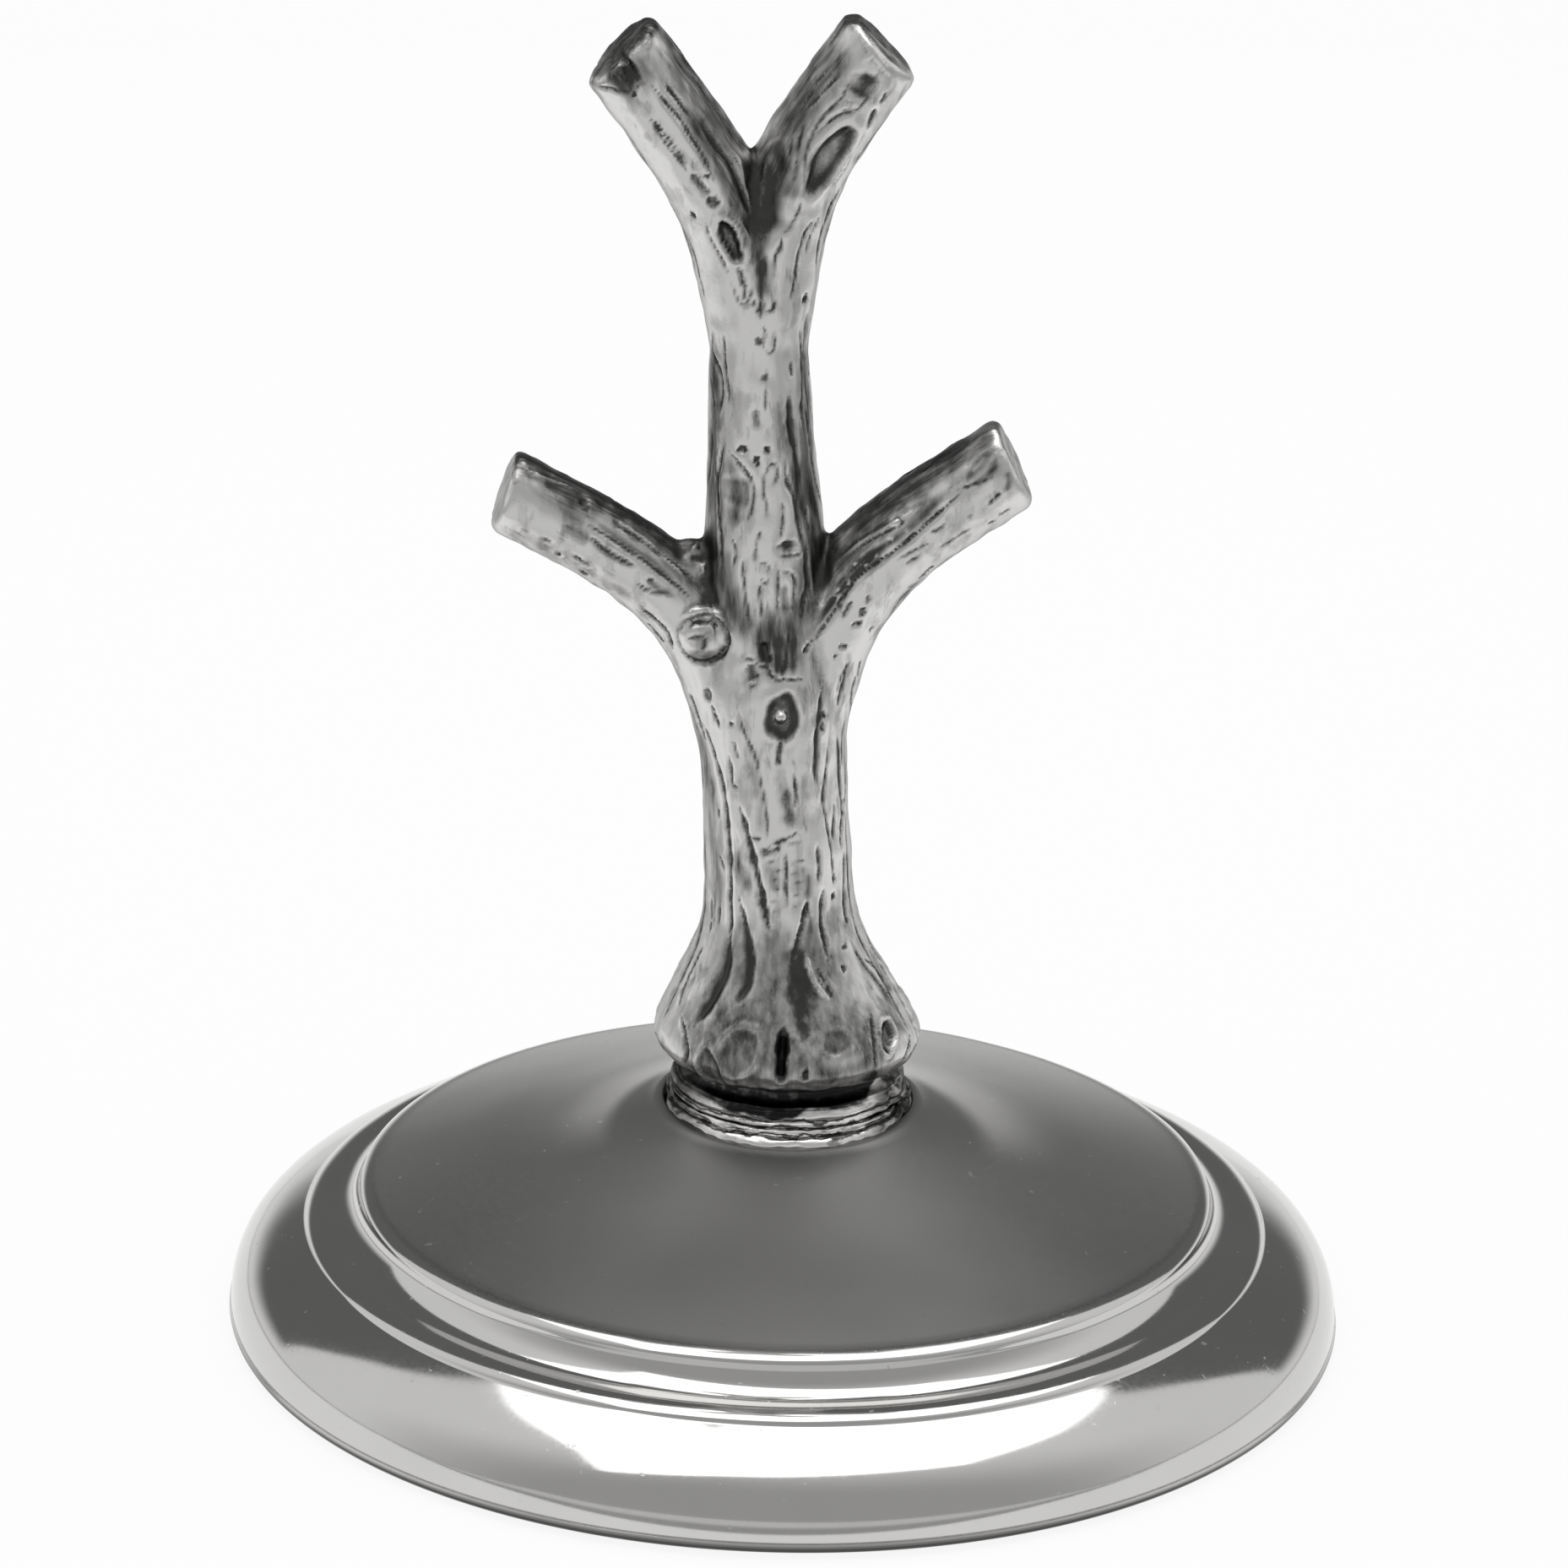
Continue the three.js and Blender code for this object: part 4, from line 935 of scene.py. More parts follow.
        ("tarnish_and_shade", 15, 0.66, 990, 250, 975, 320, 930, 365, 860, 392),
        ("tarnish_and_shade", 12, 0.6, 1040, 320, 1060, 380, 1030, 420),
        ("tarnish_and_shade", 9, 0.62, 1078, 240, 1098, 300, 1112, 350),
        ("cut", 8, 0.2, 800, 415, 860, 392, 930, 372, 990, 340),
        ("rib", 9, 0.14, 190, 800, 260, 730, 335, 665, 430, 615, 525, 560, 640, 490, 700, 450),
        ("bare", 9, 0.6, 190, 800, 260, 730, 335, 665, 430, 615, 525, 560, 640, 490),
        ("bare", 8, 0.9, 212, 955, 205, 925, 222, 890),
        ("bare", 6, 0.9, 258, 875, 272, 858),
        ("bare", 8, 0.9, 296, 790, 306, 762),
        ("bare", 6, 0.9, 346, 786, 356, 772),
        ("bare", 7, 0.9, 396, 748, 410, 728),
        ("bare", 5, 0.9, 474, 656, 484, 646),
        ("bare", 5, 0.9, 550, 620, 558, 608),
        ("bare", 7, 0.85, 132, 1000, 138, 960, 148, 935),
        ("bare", 4, 0.85, 106, 1062, 110, 1040),
        ("bare", 9, 0.9, 868, 330, 890, 305, 915, 285, 935, 250),
        ("bare", 8, 0.9, 930, 325, 955, 290, 975, 245),
        ("bare", 6, 0.85, 820, 398, 852, 380),
        ("bare", 7, 0.8, 890, 352, 915, 350),
        ("bare", 14, 0.7, 945, 195, 1000, 165, 1020, 140),
    )),
    "roots": ((760, 1060), 4.61, (
        ("cut", 18, 0.35, 640, 0, 670, 100, 695, 190),
        ("cut", 18, 0.45, 910, 30, 890, 120, 860, 220, 840, 300),
        ("tarnish_and_shade", 36, 0.55, 600, 640, 520, 680, 450, 740),
        ("cut", 14, 0.3, 1250, 640, 1265, 740, 1275, 860, 1275, 960),
        ("cut", 13, 0.25, 1465, 760, 1445, 880, 1400, 950),
        ("cut", 14, 0.3, 980, 60, 985, 180, 1000, 280, 1020, 380),
        ("cut", 15, 0.3, 1095, 10, 1110, 100, 1130, 160),
        ("cut", 15, 0.3, 960, 400, 1000, 470, 1040, 560),
        ("cut", 13, 0.25, 1160, 300, 1220, 380, 1280, 460, 1350, 550),
        ("cut", 11, 0.2, 1210, 340, 1280, 400, 1330, 470),
        ("cut", 11, 0.18, 375, 150, 370, 200),
        ("cut", 13, 0.25, 340, 280, 300, 350, 260, 430, 220, 520, 200, 600),
        ("cut", 13, 0.3, 215, 660, 240, 760, 250, 860, 225, 960, 240, 1040),
        ("rib", 40, 0.08, 850, 870, 1000, 910, 1150, 890),
        ("dip", 30, 0.3, 870, 985, 920, 990),
        ("tarnish_and_shade", 30, 1.0, 880, 985, 915, 990),
        ("tarnish_and_shade", 26, 0.5, 960, 980, 1110, 985),
    )),
}

# How strongly the cuts of a view are drawn, where that isn't 1.
BOLDNESS = {
    "leader": 0.6, "bole": 0.68, "upper fork": 0.75, "upper left end": 0.75, "trunk": 0.8,
    "left crotch": 0.7, "right crotch": 0.7,
}

# Knots, scars and pits of the front: view, middle, half length, half width, lean from
# upright in degrees, depth, height of the rolled lip, and how dark the bowl is.
FRONT_KNOTS = (
    ("upper fork", (487, 1122), 100, 40, -20, 0.6, 0.2, 1.0),
    ("upper fork", (948, 742), 175, 66, 24, 0.5, 0.2, 0.8),
    ("upper fork", (408, 935), 24, 30, 0, 0.3, 0, 0.8),
    ("upper fork", (315, 1000), 12, 12, 0, 0.2, 0, 1.0),
    ("upper fork", (838, 1385), 18, 14, 0, 0.2, 0, 0.9),
    ("upper left end", (648, 530), 18, 14, 0, 0.25, 0, 1.0),
    ("upper left end", (1048, 1365), 14, 12, 0, 0.2, 0, 1.0),
    ("upper left end", (1140, 1100), 22, 16, -30, 0.25, 0, 1.0),
    ("leader", (543, 597), 14, 22, 0, 0.25, 0, 1.0),
    ("leader", (664, 600), 14, 16, 0, 0.25, 0, 1.0),
    ("leader", (612, 650), 24, 14, -20, 0.28, 0, 1.0),
    ("leader", (622, 95), 14, 22, 20, 0.15, 0, 0.6),
    ("leader", (650, 268), 16, 12, 0, 0.15, 0, 0.8),
    ("lower left branch", (470, 168), 12, 12, 0, 0.2, 0, 1.0),
    ("lower left branch", (1285, 935), 34, 26, 0, 0.1, 0, 0.35),
    ("lower right branch", (670, 690), 24, 24, 0, 0.2, 0.04, 0.7),
    ("lower right branch", (640, 760), 16, 30, 10, 0.2, 0, 0.8),
    ("lower right branch", (560, 885), 16, 26, 10, 0.2, 0.04, 0.8),
    ("lower right branch", (703, 615), 24, 16, 0, 0.15, 0, 0.6),
    ("lower right branch", (720, 790), 20, 10, 0, 0.15, 0, 0.8),
    ("lower right branch", (520, 940), 12, 12, 0, 0.15, 0, 0.8),
    ("bole", (604, 455), 118, 82, 0, 0.36, 0.1, 1.0),
    ("bole", (805, 440), 22, 18, 0, 0.18, 0, 0.8),
    ("bole", (800, 500), 24, 15, 0, 0.18, 0, 0.8),
    ("bole", (240, 340), 30, 24, 0, 0.08, 0, 0.35),
    ("bole", (860, 1240), 18, 12, 0, 0.15, 0, 0.9),
    ("bole", (855, 1325), 14, 10, 0, 0.15, 0, 0.9),
    ("roots", (525, 860), 135, 100, 30, 0.25, 0.2, 0.5),
    ("roots", (365, 960), 105, 76, -10, 0.3, 0.18, 0.55),
    ("roots", (135, 882), 72, 24, 6, 0.3, 0.1, 0.6),
    ("roots", (1065, 805), 70, 82, 0, 0.16, 0.05, 0.45),
    ("roots", (1345, 770), 92, 52, 22, 0.4, 0.3, 0.7),
    ("roots", (1105, 285), 20, 14, 0, 0.2, 0, 0.9),
    ("roots", (1100, 400), 20, 14, 0, 0.2, 0, 0.9),
)

# Small raised beads: view, middle, radius and height.
FRONT_BEADS = (
    ("bole", (600, 450), 34, 0.7),
    ("lower right branch", (447, 640), 18, 0.16),
    ("lower right branch", (530, 600), 20, 0.18),
    ("lower right branch", (592, 524), 15, 0.16),
    ("lower right branch", (632, 415), 15, 0.16),
    ("lower right branch", (692, 424), 12, 0.14),
    ("lower right branch", (750, 370), 16, 0.18),
    ("lower right branch", (835, 272), 14, 0.16),
    ("lower right branch", (926, 230), 12, 0.14),
    ("lower left branch", (1255, 620), 120, 0.7),
    ("upper fork", (1130, 270), 16, 0.16),
    ("upper fork", (1030, 492), 14, 0.16),
    ("upper fork", (1075, 492), 16, 0.16),
)


def rounded(points, rounds=2):
    """Cuts the corners off a line of points."""
    points = [np.array(point, float) for point in points]
    for _ in range(rounds):
        if len(points) < 3:
            break
        softer = [points[0]]
        for a, b in zip(points, points[1:]):
            softer += [a * 0.75 + b * 0.25, a * 0.25 + b * 0.75]
        points = softer + [points[-1]]
    return points


# Painted shade on the branches' upper sides, in place of the dark reflection that faces tilted up
# show: the upward tilt of the skin at which the painted shade starts and how much more of it
# makes that full, the height above the table from which it comes and how fast, the height up to
# which it is softer and how fast that ends, and how dark it gets.
UPWARD_SHADE_TILT = 0.42
UPWARD_SHADE_SOFTNESS = 0.32
UPWARD_SHADE_FROM = 36
UPWARD_SHADE_RISE = 6
LOWER_BRANCHES_TO = 68
LOWER_BRANCHES_FADE = 4
UPWARD_SHADE_DARKNESS = 0.82

# Marks: how many half widths away a cut or stain and a soft mark still show, and the share
# of a mark's length over which its ends fade.
WIDE_REACH = 2.4
SOFT_REACH = 2.2
SHARP_ENDS = 0.2
SOFT_ENDS = 0.3
# The lip beside a cut: its height as a share of the depth, and its middle and its width in
# half widths of the cut. The dark halo round a cut: how dark and how wide it is.
CUT_LIP = (0.05, 1.7, 0.5)
CUT_HALO = (0.3, 1.9)
# How much wider than a knot the skin is worked, its lip's height as a share and its middle
# and width, and the middle, the width and the darkness of the dark ring in its bowl.
KNOT_REACH = 1.8
KNOT_LIP = (0.55, 1.16, 0.2)
KNOT_RING = (0.78, 0.2, 0.85)

# Hollows and wear: rounds of softening that show fine and broad hollows, and how deep in
# millimetres each is where it is fully dark, or how proud where the metal is fully worn.
FINE_ROUNDS = 4
BROAD_ROUNDS = 30
FINE_HOLLOW = 0.045
BROAD_HOLLOW = 0.2
BROAD_HOLLOW_START = 0.01
HOLLOW_WEIGHT = 0.8
FULL_WEAR = 0.03


def raise_to(values, chosen, fresh):
    """Raises the chosen values to the fresh ones where those are greater."""
    values[chosen] = np.maximum(values[chosen], fresh)


class Surface:
    """The tree's skin while marks are worked into it."""

    def __init__(self, mesh):
        self.mesh = mesh
        count = len(mesh.vertices)
        self.places = np.empty(count * 3)
        mesh.vertices.foreach_get("co", self.places)
        self.places = self.places.reshape(-1, 3)
        self.normals = np.empty(count * 3)
        mesh.vertex_normals.foreach_get("vector", self.normals)
        self.normals = self.normals.reshape(-1, 3)
        self.carved = np.zeros(count)
        self.raised = np.zeros(count)
        self.furrow = np.full(count, -1.0)
        self.tarnish_and_shade = self.painted_upward_shade()
        self.bold = 1.0
        form = bmesh.new()
        form.from_mesh(mesh)
        self.tree = BVHTree.FromBMesh(form)
        form.free()

    def painted_upward_shade(self):
        """Painted shade on the upper sides of the branches, in place of their dark reflection."""
        x, y, z = self.places.T
        wobble = 0.06 * np.sin(x * 1.7 + z * 0.9) + 0.05 * np.sin(x * 3.1 - z * 2.3 + y)
        low = np.clip((LOWER_BRANCHES_TO - z) / LOWER_BRANCHES_FADE, 0, 1)
        tilt = self.normals[:, 2] + wobble - UPWARD_SHADE_TILT + 0.06 * low
        upward = np.clip(tilt / (UPWARD_SHADE_SOFTNESS + 0.14 * low), 0, 1)
        upward *= np.clip((z - UPWARD_SHADE_FROM) / UPWARD_SHADE_RISE, 0, 1)
        return UPWARD_SHADE_DARKNESS * upward * upward * (3 - 2 * upward)

    def seen(self, view, x, y):
        """The skin's place and direction under a point of a view, or Nones beside the tree."""
        corner, zoom = FRONT_MARKS[view][:2]
        start, sight = sight_line(corner[0] + x / zoom, corner[1] + y / zoom)
        return self.tree.ray_cast(start, sight)

    def near(self, low, high, reach):
        """Numbers of the vertices that lie within reach of a box."""
        inside = np.all((self.places > low - reach) & (self.places < high + reach), axis=1)
        return np.nonzero(inside)[0]

    def line(self, kind, width, depth, path):
        """Works a mark along a path of places."""
        path = np.array(path)
        starts, ends = path[:-1], path[1:]
        reach = width * (WIDE_REACH if kind in ("cut", "tarnish_and_shade") else SOFT_REACH)
        chosen = self.near(path.min(axis=0), path.max(axis=0), reach)
        if not len(chosen):
            return
        spans = ends - starts
        lengths = np.maximum(np.linalg.norm(spans, axis=1), 1e-6)
        gaps = self.places[chosen][:, None, :] - starts[None]
        share = np.clip((gaps * spans[None]).sum(axis=2) / lengths ** 2, 0, 1)
        distance = np.linalg.norm(gaps - share[..., None] * spans[None], axis=2)
        best = distance.argmin(axis=1)
        rows = np.arange(len(chosen))
        before = np.concatenate([[0], np.cumsum(lengths)[:-1]])
        run = (before[best] + share[rows, best] * lengths[best]) / lengths.sum()
        across = distance[rows, best] / width
        to_end = np.minimum(run, 1 - run)
        fade = np.clip(to_end / SHARP_ENDS, 0.0, 1) ** 0.6
        position = run * lengths.sum() + path[0].sum()
        uneven = 1 + 0.16 * np.sin(position * 2.3) + 0.1 * np.sin(position * 5.1 + 1)
        if kind == "cut":
            fade = fade * np.clip(uneven, 0.45, 1.2)
        elif kind in ("dip", "rib"):
            fade = eased(np.clip(to_end / SOFT_ENDS, 0.0, 1))
        across = across / np.maximum((0.35 + 0.65 * fade) * (0.6 + 0.4 * uneven), 0.1)
        self.apply(kind, chosen, across, depth, fade)

    def apply(self, kind, chosen, across, depth, fade):
        """Works a mark into the chosen vertices: across is 0 on its middle and 1 at its edge."""
        if kind == "cut":
            hollow = (0.2 + 0.6 * self.bold) * depth * np.clip(1 - across, 0, 1) ** 1.2 * fade
            share, middle, spread = CUT_LIP
            lip = share * depth * np.exp(-((across - middle) / spread) ** 2) * fade
            raise_to(self.carved, chosen, hollow)
            raise_to(self.raised, chosen, lip)
            dark = np.clip(1 - across, -1, self.bold) * (0.4 + 0.6 * fade)
            raise_to(self.furrow, chosen, dark)
            halo = CUT_HALO[0] * self.bold * np.exp(-(across / CUT_HALO[1]) ** 2) * fade
            raise_to(self.tarnish_and_shade, chosen, halo)
        elif kind == "dip":
            hollow = depth * np.exp(-across ** 2) * fade
            raise_to(self.carved, chosen, hollow)
        elif kind == "rib":
            ridge = depth * np.exp(-across ** 2 * 1.4) * fade
            raise_to(self.raised, chosen, ridge)
        # Dark metal: partly tarnish, partly painted shade and painted dark reflection.
        elif kind == "tarnish_and_shade":
            dark = depth * np.exp(-(across / 1.15) ** 2) * np.maximum(fade, 0.35)
            raise_to(self.tarnish_and_shade, chosen, dark)
        # Metal rubbed clean, which also serves as a painted highlight: it lifts the dark metal and
        # the painted shade.
        elif kind == "bare":
            self.tarnish_and_shade[chosen] *= 1 - depth * np.exp(-(across / 1.1) ** 2) * fade

    def knot(self, place, outward, along, half_length, half_width, depth, lip, dark, seed):
        """An oval bowl with a rolled lip."""
        reach = max(half_length, half_width) * KNOT_REACH
        centre = np.array(place)
        chosen = self.near(centre, centre, reach)
        along = (along - outward * along.dot(outward)).normalized()
        side = outward.cross(along)
        gaps = self.places[chosen] - centre
        v = gaps @ np.array(along) / half_length
        u = gaps @ np.array(side) / half_width
        deep = np.abs(gaps @ np.array(outward)) < reach
        angle = np.arctan2(v, u)
        wobble = 1 + 0.05 * np.sin(3 * angle + seed) + 0.04 * np.sin(5 * angle + seed * 2)
        out = np.hypot(u, v) / wobble
        bowl = depth * np.clip(1 - out ** 3, 0, 1) ** 0.7 * deep
        share, middle, spread = KNOT_LIP
        roll = share * lip * np.exp(-((out - middle) / spread) ** 2) * deep
        raise_to(self.carved, chosen, bowl)
        raise_to(self.raised, chosen, roll)
        middle, spread, darkness = KNOT_RING
        ring = np.exp(-((out - middle) / spread) ** 2)
        shade = np.where(out < 1.1, darkness * dark * (0.22 + 0.78 * ring), 0) * deep
        raise_to(self.tarnish_and_shade, chosen, shade)

    def bead(self, place, radius, height):
        """A small raised drop."""
        centre = np.array(place)
        chosen = self.near(centre, centre, radius * 1.5)
        out = np.linalg.norm(self.places[chosen] - centre, axis=1) / radius
        rise = height * np.clip(1 - out ** 2, 0, 1) ** 0.6
        self.places[chosen] += self.normals[chosen] * rise[:, None]

    def softened(self, places, rounds):
        """The places after each vertex has moved toward its neighbours."""
        pairs = np.empty(len(self.mesh.edges) * 2, int)
        self.mesh.edges.foreach_get("vertices", pairs)
        a, b = pairs.reshape(-1, 2).T
        count = len(places)
        shares = np.maximum(np.bincount(a, minlength=count) + np.bincount(b, minlength=count), 1)
        for _ in range(rounds):
            sums = np.stack([
                np.bincount(a, places[b, i], count) + np.bincount(b, places[a, i], count)
                for i in range(3)
            ], axis=1)
            places = 0.4 * places + 0.6 * sums / shares[:, None]
        return places

    def finish(self, grain, bark):
        """Moves the skin by the marks and the grain, and stores how worn or dark it is."""
        push = self.raised - self.carved + grain
        self.places += self.normals * push[:, None]
        self.places[:, 2] = np.minimum(self.places[:, 2], TREE_TOP)
        self.mesh.vertices.foreach_set("co", self.places.ravel())
        self.mesh.update()
        flat = np.empty(len(self.places) * 3)
        self.mesh.vertex_normals.foreach_get("vector", flat)
        normals = flat.reshape(-1, 3)
        near = self.softened(self.places, FINE_ROUNDS)
        far = self.softened(near, BROAD_ROUNDS)
        fine = ((near - self.places) * normals).sum(axis=1)
        broad = ((far - self.places) * normals).sum(axis=1)
        cavity = HOLLOW_WEIGHT * np.clip(fine / FINE_HOLLOW, 0, 1)
        cavity += HOLLOW_WEIGHT * np.clip((broad + BROAD_HOLLOW_START) / BROAD_HOLLOW, 0, 1)
        worn = np.clip(-fine / FULL_WEAR, 0, 1)
        self.mesh.vertices.foreach_set("co", (self.places * MM).ravel())
        values = {
            "furrow": self.furrow, "tarnish_and_shade": self.tarnish_and_shade,
            "cavity": np.clip(cavity, 0, 1.2), "worn": worn,
        }
        for name, value in values.items():
            layer = self.mesh.attributes.new(name, "FLOAT", "POINT")
            layer.data.foreach_set("value", value.astype(np.float32))
        layer = self.mesh.attributes.new("bark", "FLOAT_VECTOR", "POINT")
        layer.data.foreach_set("vector", bark.astype(np.float32).ravel())
        self.mesh.update()


def mark_front(surface):
    """Works the front's marks, knots and beads in where they show through the camera."""
    for view, (corner, zoom, marks) in FRONT_MARKS.items():
        scale = zoom * PIXELS_PER_MM
        surface.bold = BOLDNESS.get(view, 1.0)
        for kind, width, depth, *numbers in marks:
            path = []
            for x, y in rounded(zip(numbers[::2], numbers[1::2])):
                place = surface.seen(view, x, y)[0]
                if place is not None:
                    path.append(place)
            if len(path) > 1:
                surface.line(kind, width / scale, depth, path)
    surface.bold = 1.0
    for index, (view, middle, length, width, lean, depth, lip, dark) in enumerate(FRONT_KNOTS):
        scale = FRONT_MARKS[view][1] * PIXELS_PER_MM
        place, outward = surface.seen(view, *middle)[:2]
        if place is None:
            continue
        right, up = camera_frame()[1:3]
        tilt = math.radians(lean)
        along = up * math.cos(tilt) + right * math.sin(tilt)
        surface.knot(place, outward, along, length / scale, width / scale, depth, lip, dark, index)
    for view, middle, radius, height in FRONT_BEADS:
        place = surface.seen(view, *middle)[0]
        if place is not None:
            surface.bead(place, radius / (FRONT_MARKS[view][1] * PIXELS_PER_MM), height)


# Steps of the stem's middle line and of a branch's, and how many of the branch's first ones
# lie inside the stem.
STEM_STEPS = 30
BRANCH_STEPS = 24
BRANCH_STEPS_INSIDE = 6


def limb_lines():
    """Each limb's middle line with its radius, for marks that run along it."""
    tree = tree_sizes()
    heights = [LEADER_TOP * i / STEM_STEPS for i in range(STEM_STEPS + 1)]
    lines = [([axis_at(height) for height in heights], tree.bole_radius * 0.9)]
    for limb in LIMBS:
        lines.append((limb_curve(limb, BRANCH_STEPS)[BRANCH_STEPS_INSIDE:], limb.radius))
    return lines


# Furrows of the sides and the back: the shares of a turn from the front at which they run,
# and the steps of each.
BACK_TURNS = (0.2, 0.27, 0.33, 0.4, 0.46, 0.52, 0.58, 0.65, 0.72, 0.79)
BACK_STEPS = 14
# Ranges that each furrow's numbers are drawn from: start of a row's first one, length and
# gap as shares of the limb's line, drift round the limb, sway, half width and depth.
FIRST_START = (0.0, 0.15)
FURROW_LENGTH = (0.14, 0.45)
FURROW_GAP = (0.04, 0.2)
FURROW_DRIFT = (-0.03, 0.03)
FURROW_SWAY = (0, 6)
FURROW_WIDTH = (0.17, 0.34)
FURROW_DEPTH = (0.12, 0.36)
# The outermost rows meet the front's own marks, so they are shallower.
EDGE_DEPTH = 0.45
# The longest step of a furrow before it would jump to another limb, and how far from its
# limb's middle the skin may lie: on a branch as a share of its radius, and on the trunk up
# to a height.
BACK_LINE_STEP = 2.6
BRANCH_REACH = 1.3
TRUNK_REACHES = ((13, 10.0), (24, 5.9), (60, 4.6))
# The share of a limb's line at which its furrows end, and how far out, in radii of the limb
# or in millimetres from the trunk's middle, is clear of the skin.
LINE_END = 0.985
CLEAR_OF_LIMB = 3.2
CLEAR_OF_TRUNK = 14


def back_path(surface, limb, middles, radius, start, length, turn, drift, sway):
    """A furrow's way over the skin, which ends where it would leave its limb."""
    path = []
    for i in range(BACK_STEPS):
        share = min(LINE_END, start + length * i / (BACK_STEPS - 1))
        where = share * (len(middles) - 1)
        low = min(int(where), len(middles) - 2)
        middle = middles[low].lerp(middles[low + 1], where - low)
        side, face = square_to((middles[low + 1] - middles[low]).normalized())
        drifted = turn + drift * i / (BACK_STEPS - 1)
        angle = math.tau * (drifted + 0.005 * math.sin(sway + i * 0.5))
        outward = face * math.cos(angle) + side * math.sin(angle)
        hit = surface.tree.ray_cast(middle + outward * radius * CLEAR_OF_LIMB, -outward)[0]
        if hit is None or (path and (hit - path[-1]).length > BACK_LINE_STEP):
            break
        height = middle.z - tree_sizes().foot_height
        reach = radius * BRANCH_REACH
        if limb == 0:
            reach = next(far for top, far in TRUNK_REACHES if height < top)
        if (hit - middle).length > reach:
            break
        path.append(hit)
    return path


def mark_back(surface):
    """Long furrows on the sides and the back, along each limb."""
    draw = np.random.default_rng(11)
    for limb, (middles, radius) in enumerate(limb_lines()):
        for turn in BACK_TURNS:
            edge = turn in (BACK_TURNS[0], BACK_TURNS[-1])
            start = draw.uniform(*FIRST_START)
            while start < 0.9:
                length = draw.uniform(*FURROW_LENGTH)
                drift = draw.uniform(*FURROW_DRIFT)
                sway = draw.uniform(*FURROW_SWAY)
                path = back_path(
                    surface, limb, middles, radius, start, length, turn, drift, sway)
                wide = draw.uniform(*FURROW_WIDTH)
                deep = draw.uniform(*FURROW_DEPTH) * (EDGE_DEPTH if edge else 1)
                if len(path) > 3:
                    surface.line("cut", wide, deep, path)
                start += length + draw.uniform(*FURROW_GAP)


# Root furrows round the back: share of a turn, lean of the furrow and depth.
ROOT_FURROWS = (
    (0.24, 0.02, 0.7), (0.31, -0.015, 0.9), (0.385, 0.02, 0.7), (0.45, -0.01, 1.0),
    (0.52, 0.015, 0.7), (0.59, -0.02, 0.95), (0.66, 0.01, 0.75), (0.735, -0.02, 0.9),
)
# Half a root furrow's width, and the heights that it runs through.
ROOT_FURROW_WIDTH = 0.42
ROOT_FURROW_HEIGHTS = (0.8, 2.5, 4.5, 6.5, 8.5, 10.5, 12.5)
# Knots and scars of the back and sides: height, share of a turn, half length, half width,
# lean, depth, lip and how dark.
BACK_KNOTS = (
    (17, 0.47, 1.5, 1.0, 5, 0.9, 0.2, 1.0), (9.5, 0.58, 0.9, 0.6, -20, 0.4, 0.1, 0.8),
    (44, 0.55, 1.7, 0.9, 10, 0.35, 0.15, 0.6), (34, 0.4, 1.1, 0.7, -10, 0.5, 0.15, 0.9),
    (2.6, 0.28, 1.3, 1.1, 15, 0.3, 0.2, 0.5), (2.4, 0.42, 1.4, 1.2, -12, 0.3, 0.2, 0.55),
    (2.5, 0.55, 1.2, 1.1, 20, 0.3, 0.2, 0.5), (2.6, 0.69, 1.4, 1.1, -10, 0.3, 0.2, 0.5),
)


def from_side(surface, height, turn):
    """The skin's place and direction at a height and a share of a turn from the front."""
    middle = axis_at(height)
    outward = Vector((math.sin(math.tau * turn), -math.cos(math.tau * turn), 0))
    return surface.tree.ray_cast(middle + outward * CLEAR_OF_TRUNK, -outward)[:2]


def mark_roots(surface):
    """Furrows of the roots on the back, and the knots and scars of the back and sides."""
    for turn, lean, depth in ROOT_FURROWS:
        path = [
            from_side(surface, height, turn + lean * (height - 5) / 6)[0]
            for height in ROOT_FURROW_HEIGHTS
        ]
        path = [place for place in path if place is not None]
        surface.line("cut", ROOT_FURROW_WIDTH, depth, path)
    for index, (height, turn, length, width, lean, depth, lip, dark) in enumerate(BACK_KNOTS):
        place, outward = from_side(surface, height, turn)
        if place is None:
            continue
        tilt = math.radians(lean)
        along = UPWARD * math.cos(tilt) + UPWARD.cross(outward) * math.sin(tilt)
        surface.knot(place, outward, along, length, width, depth, lip, dark, 40 + index)


# The skin's ripples: their heights, how fast the long ones change across and along the
# tree, how fast the even ones change, and how much finer the fine ones are.
RIPPLE_HEIGHTS = (0.08, 0.06, 0.03)
RIPPLE_ACROSS = 0.9
RIPPLE_ALONG = 0.26
EVEN_RIPPLE = 0.7
FINE_RIPPLE = 2.4
# Scale of the bark's streaks round and along a limb, and how far apart the limbs' own
# patterns lie.
BARK_ROUND = 3
BARK_ALONG = 0.11
BARK_APART = 13


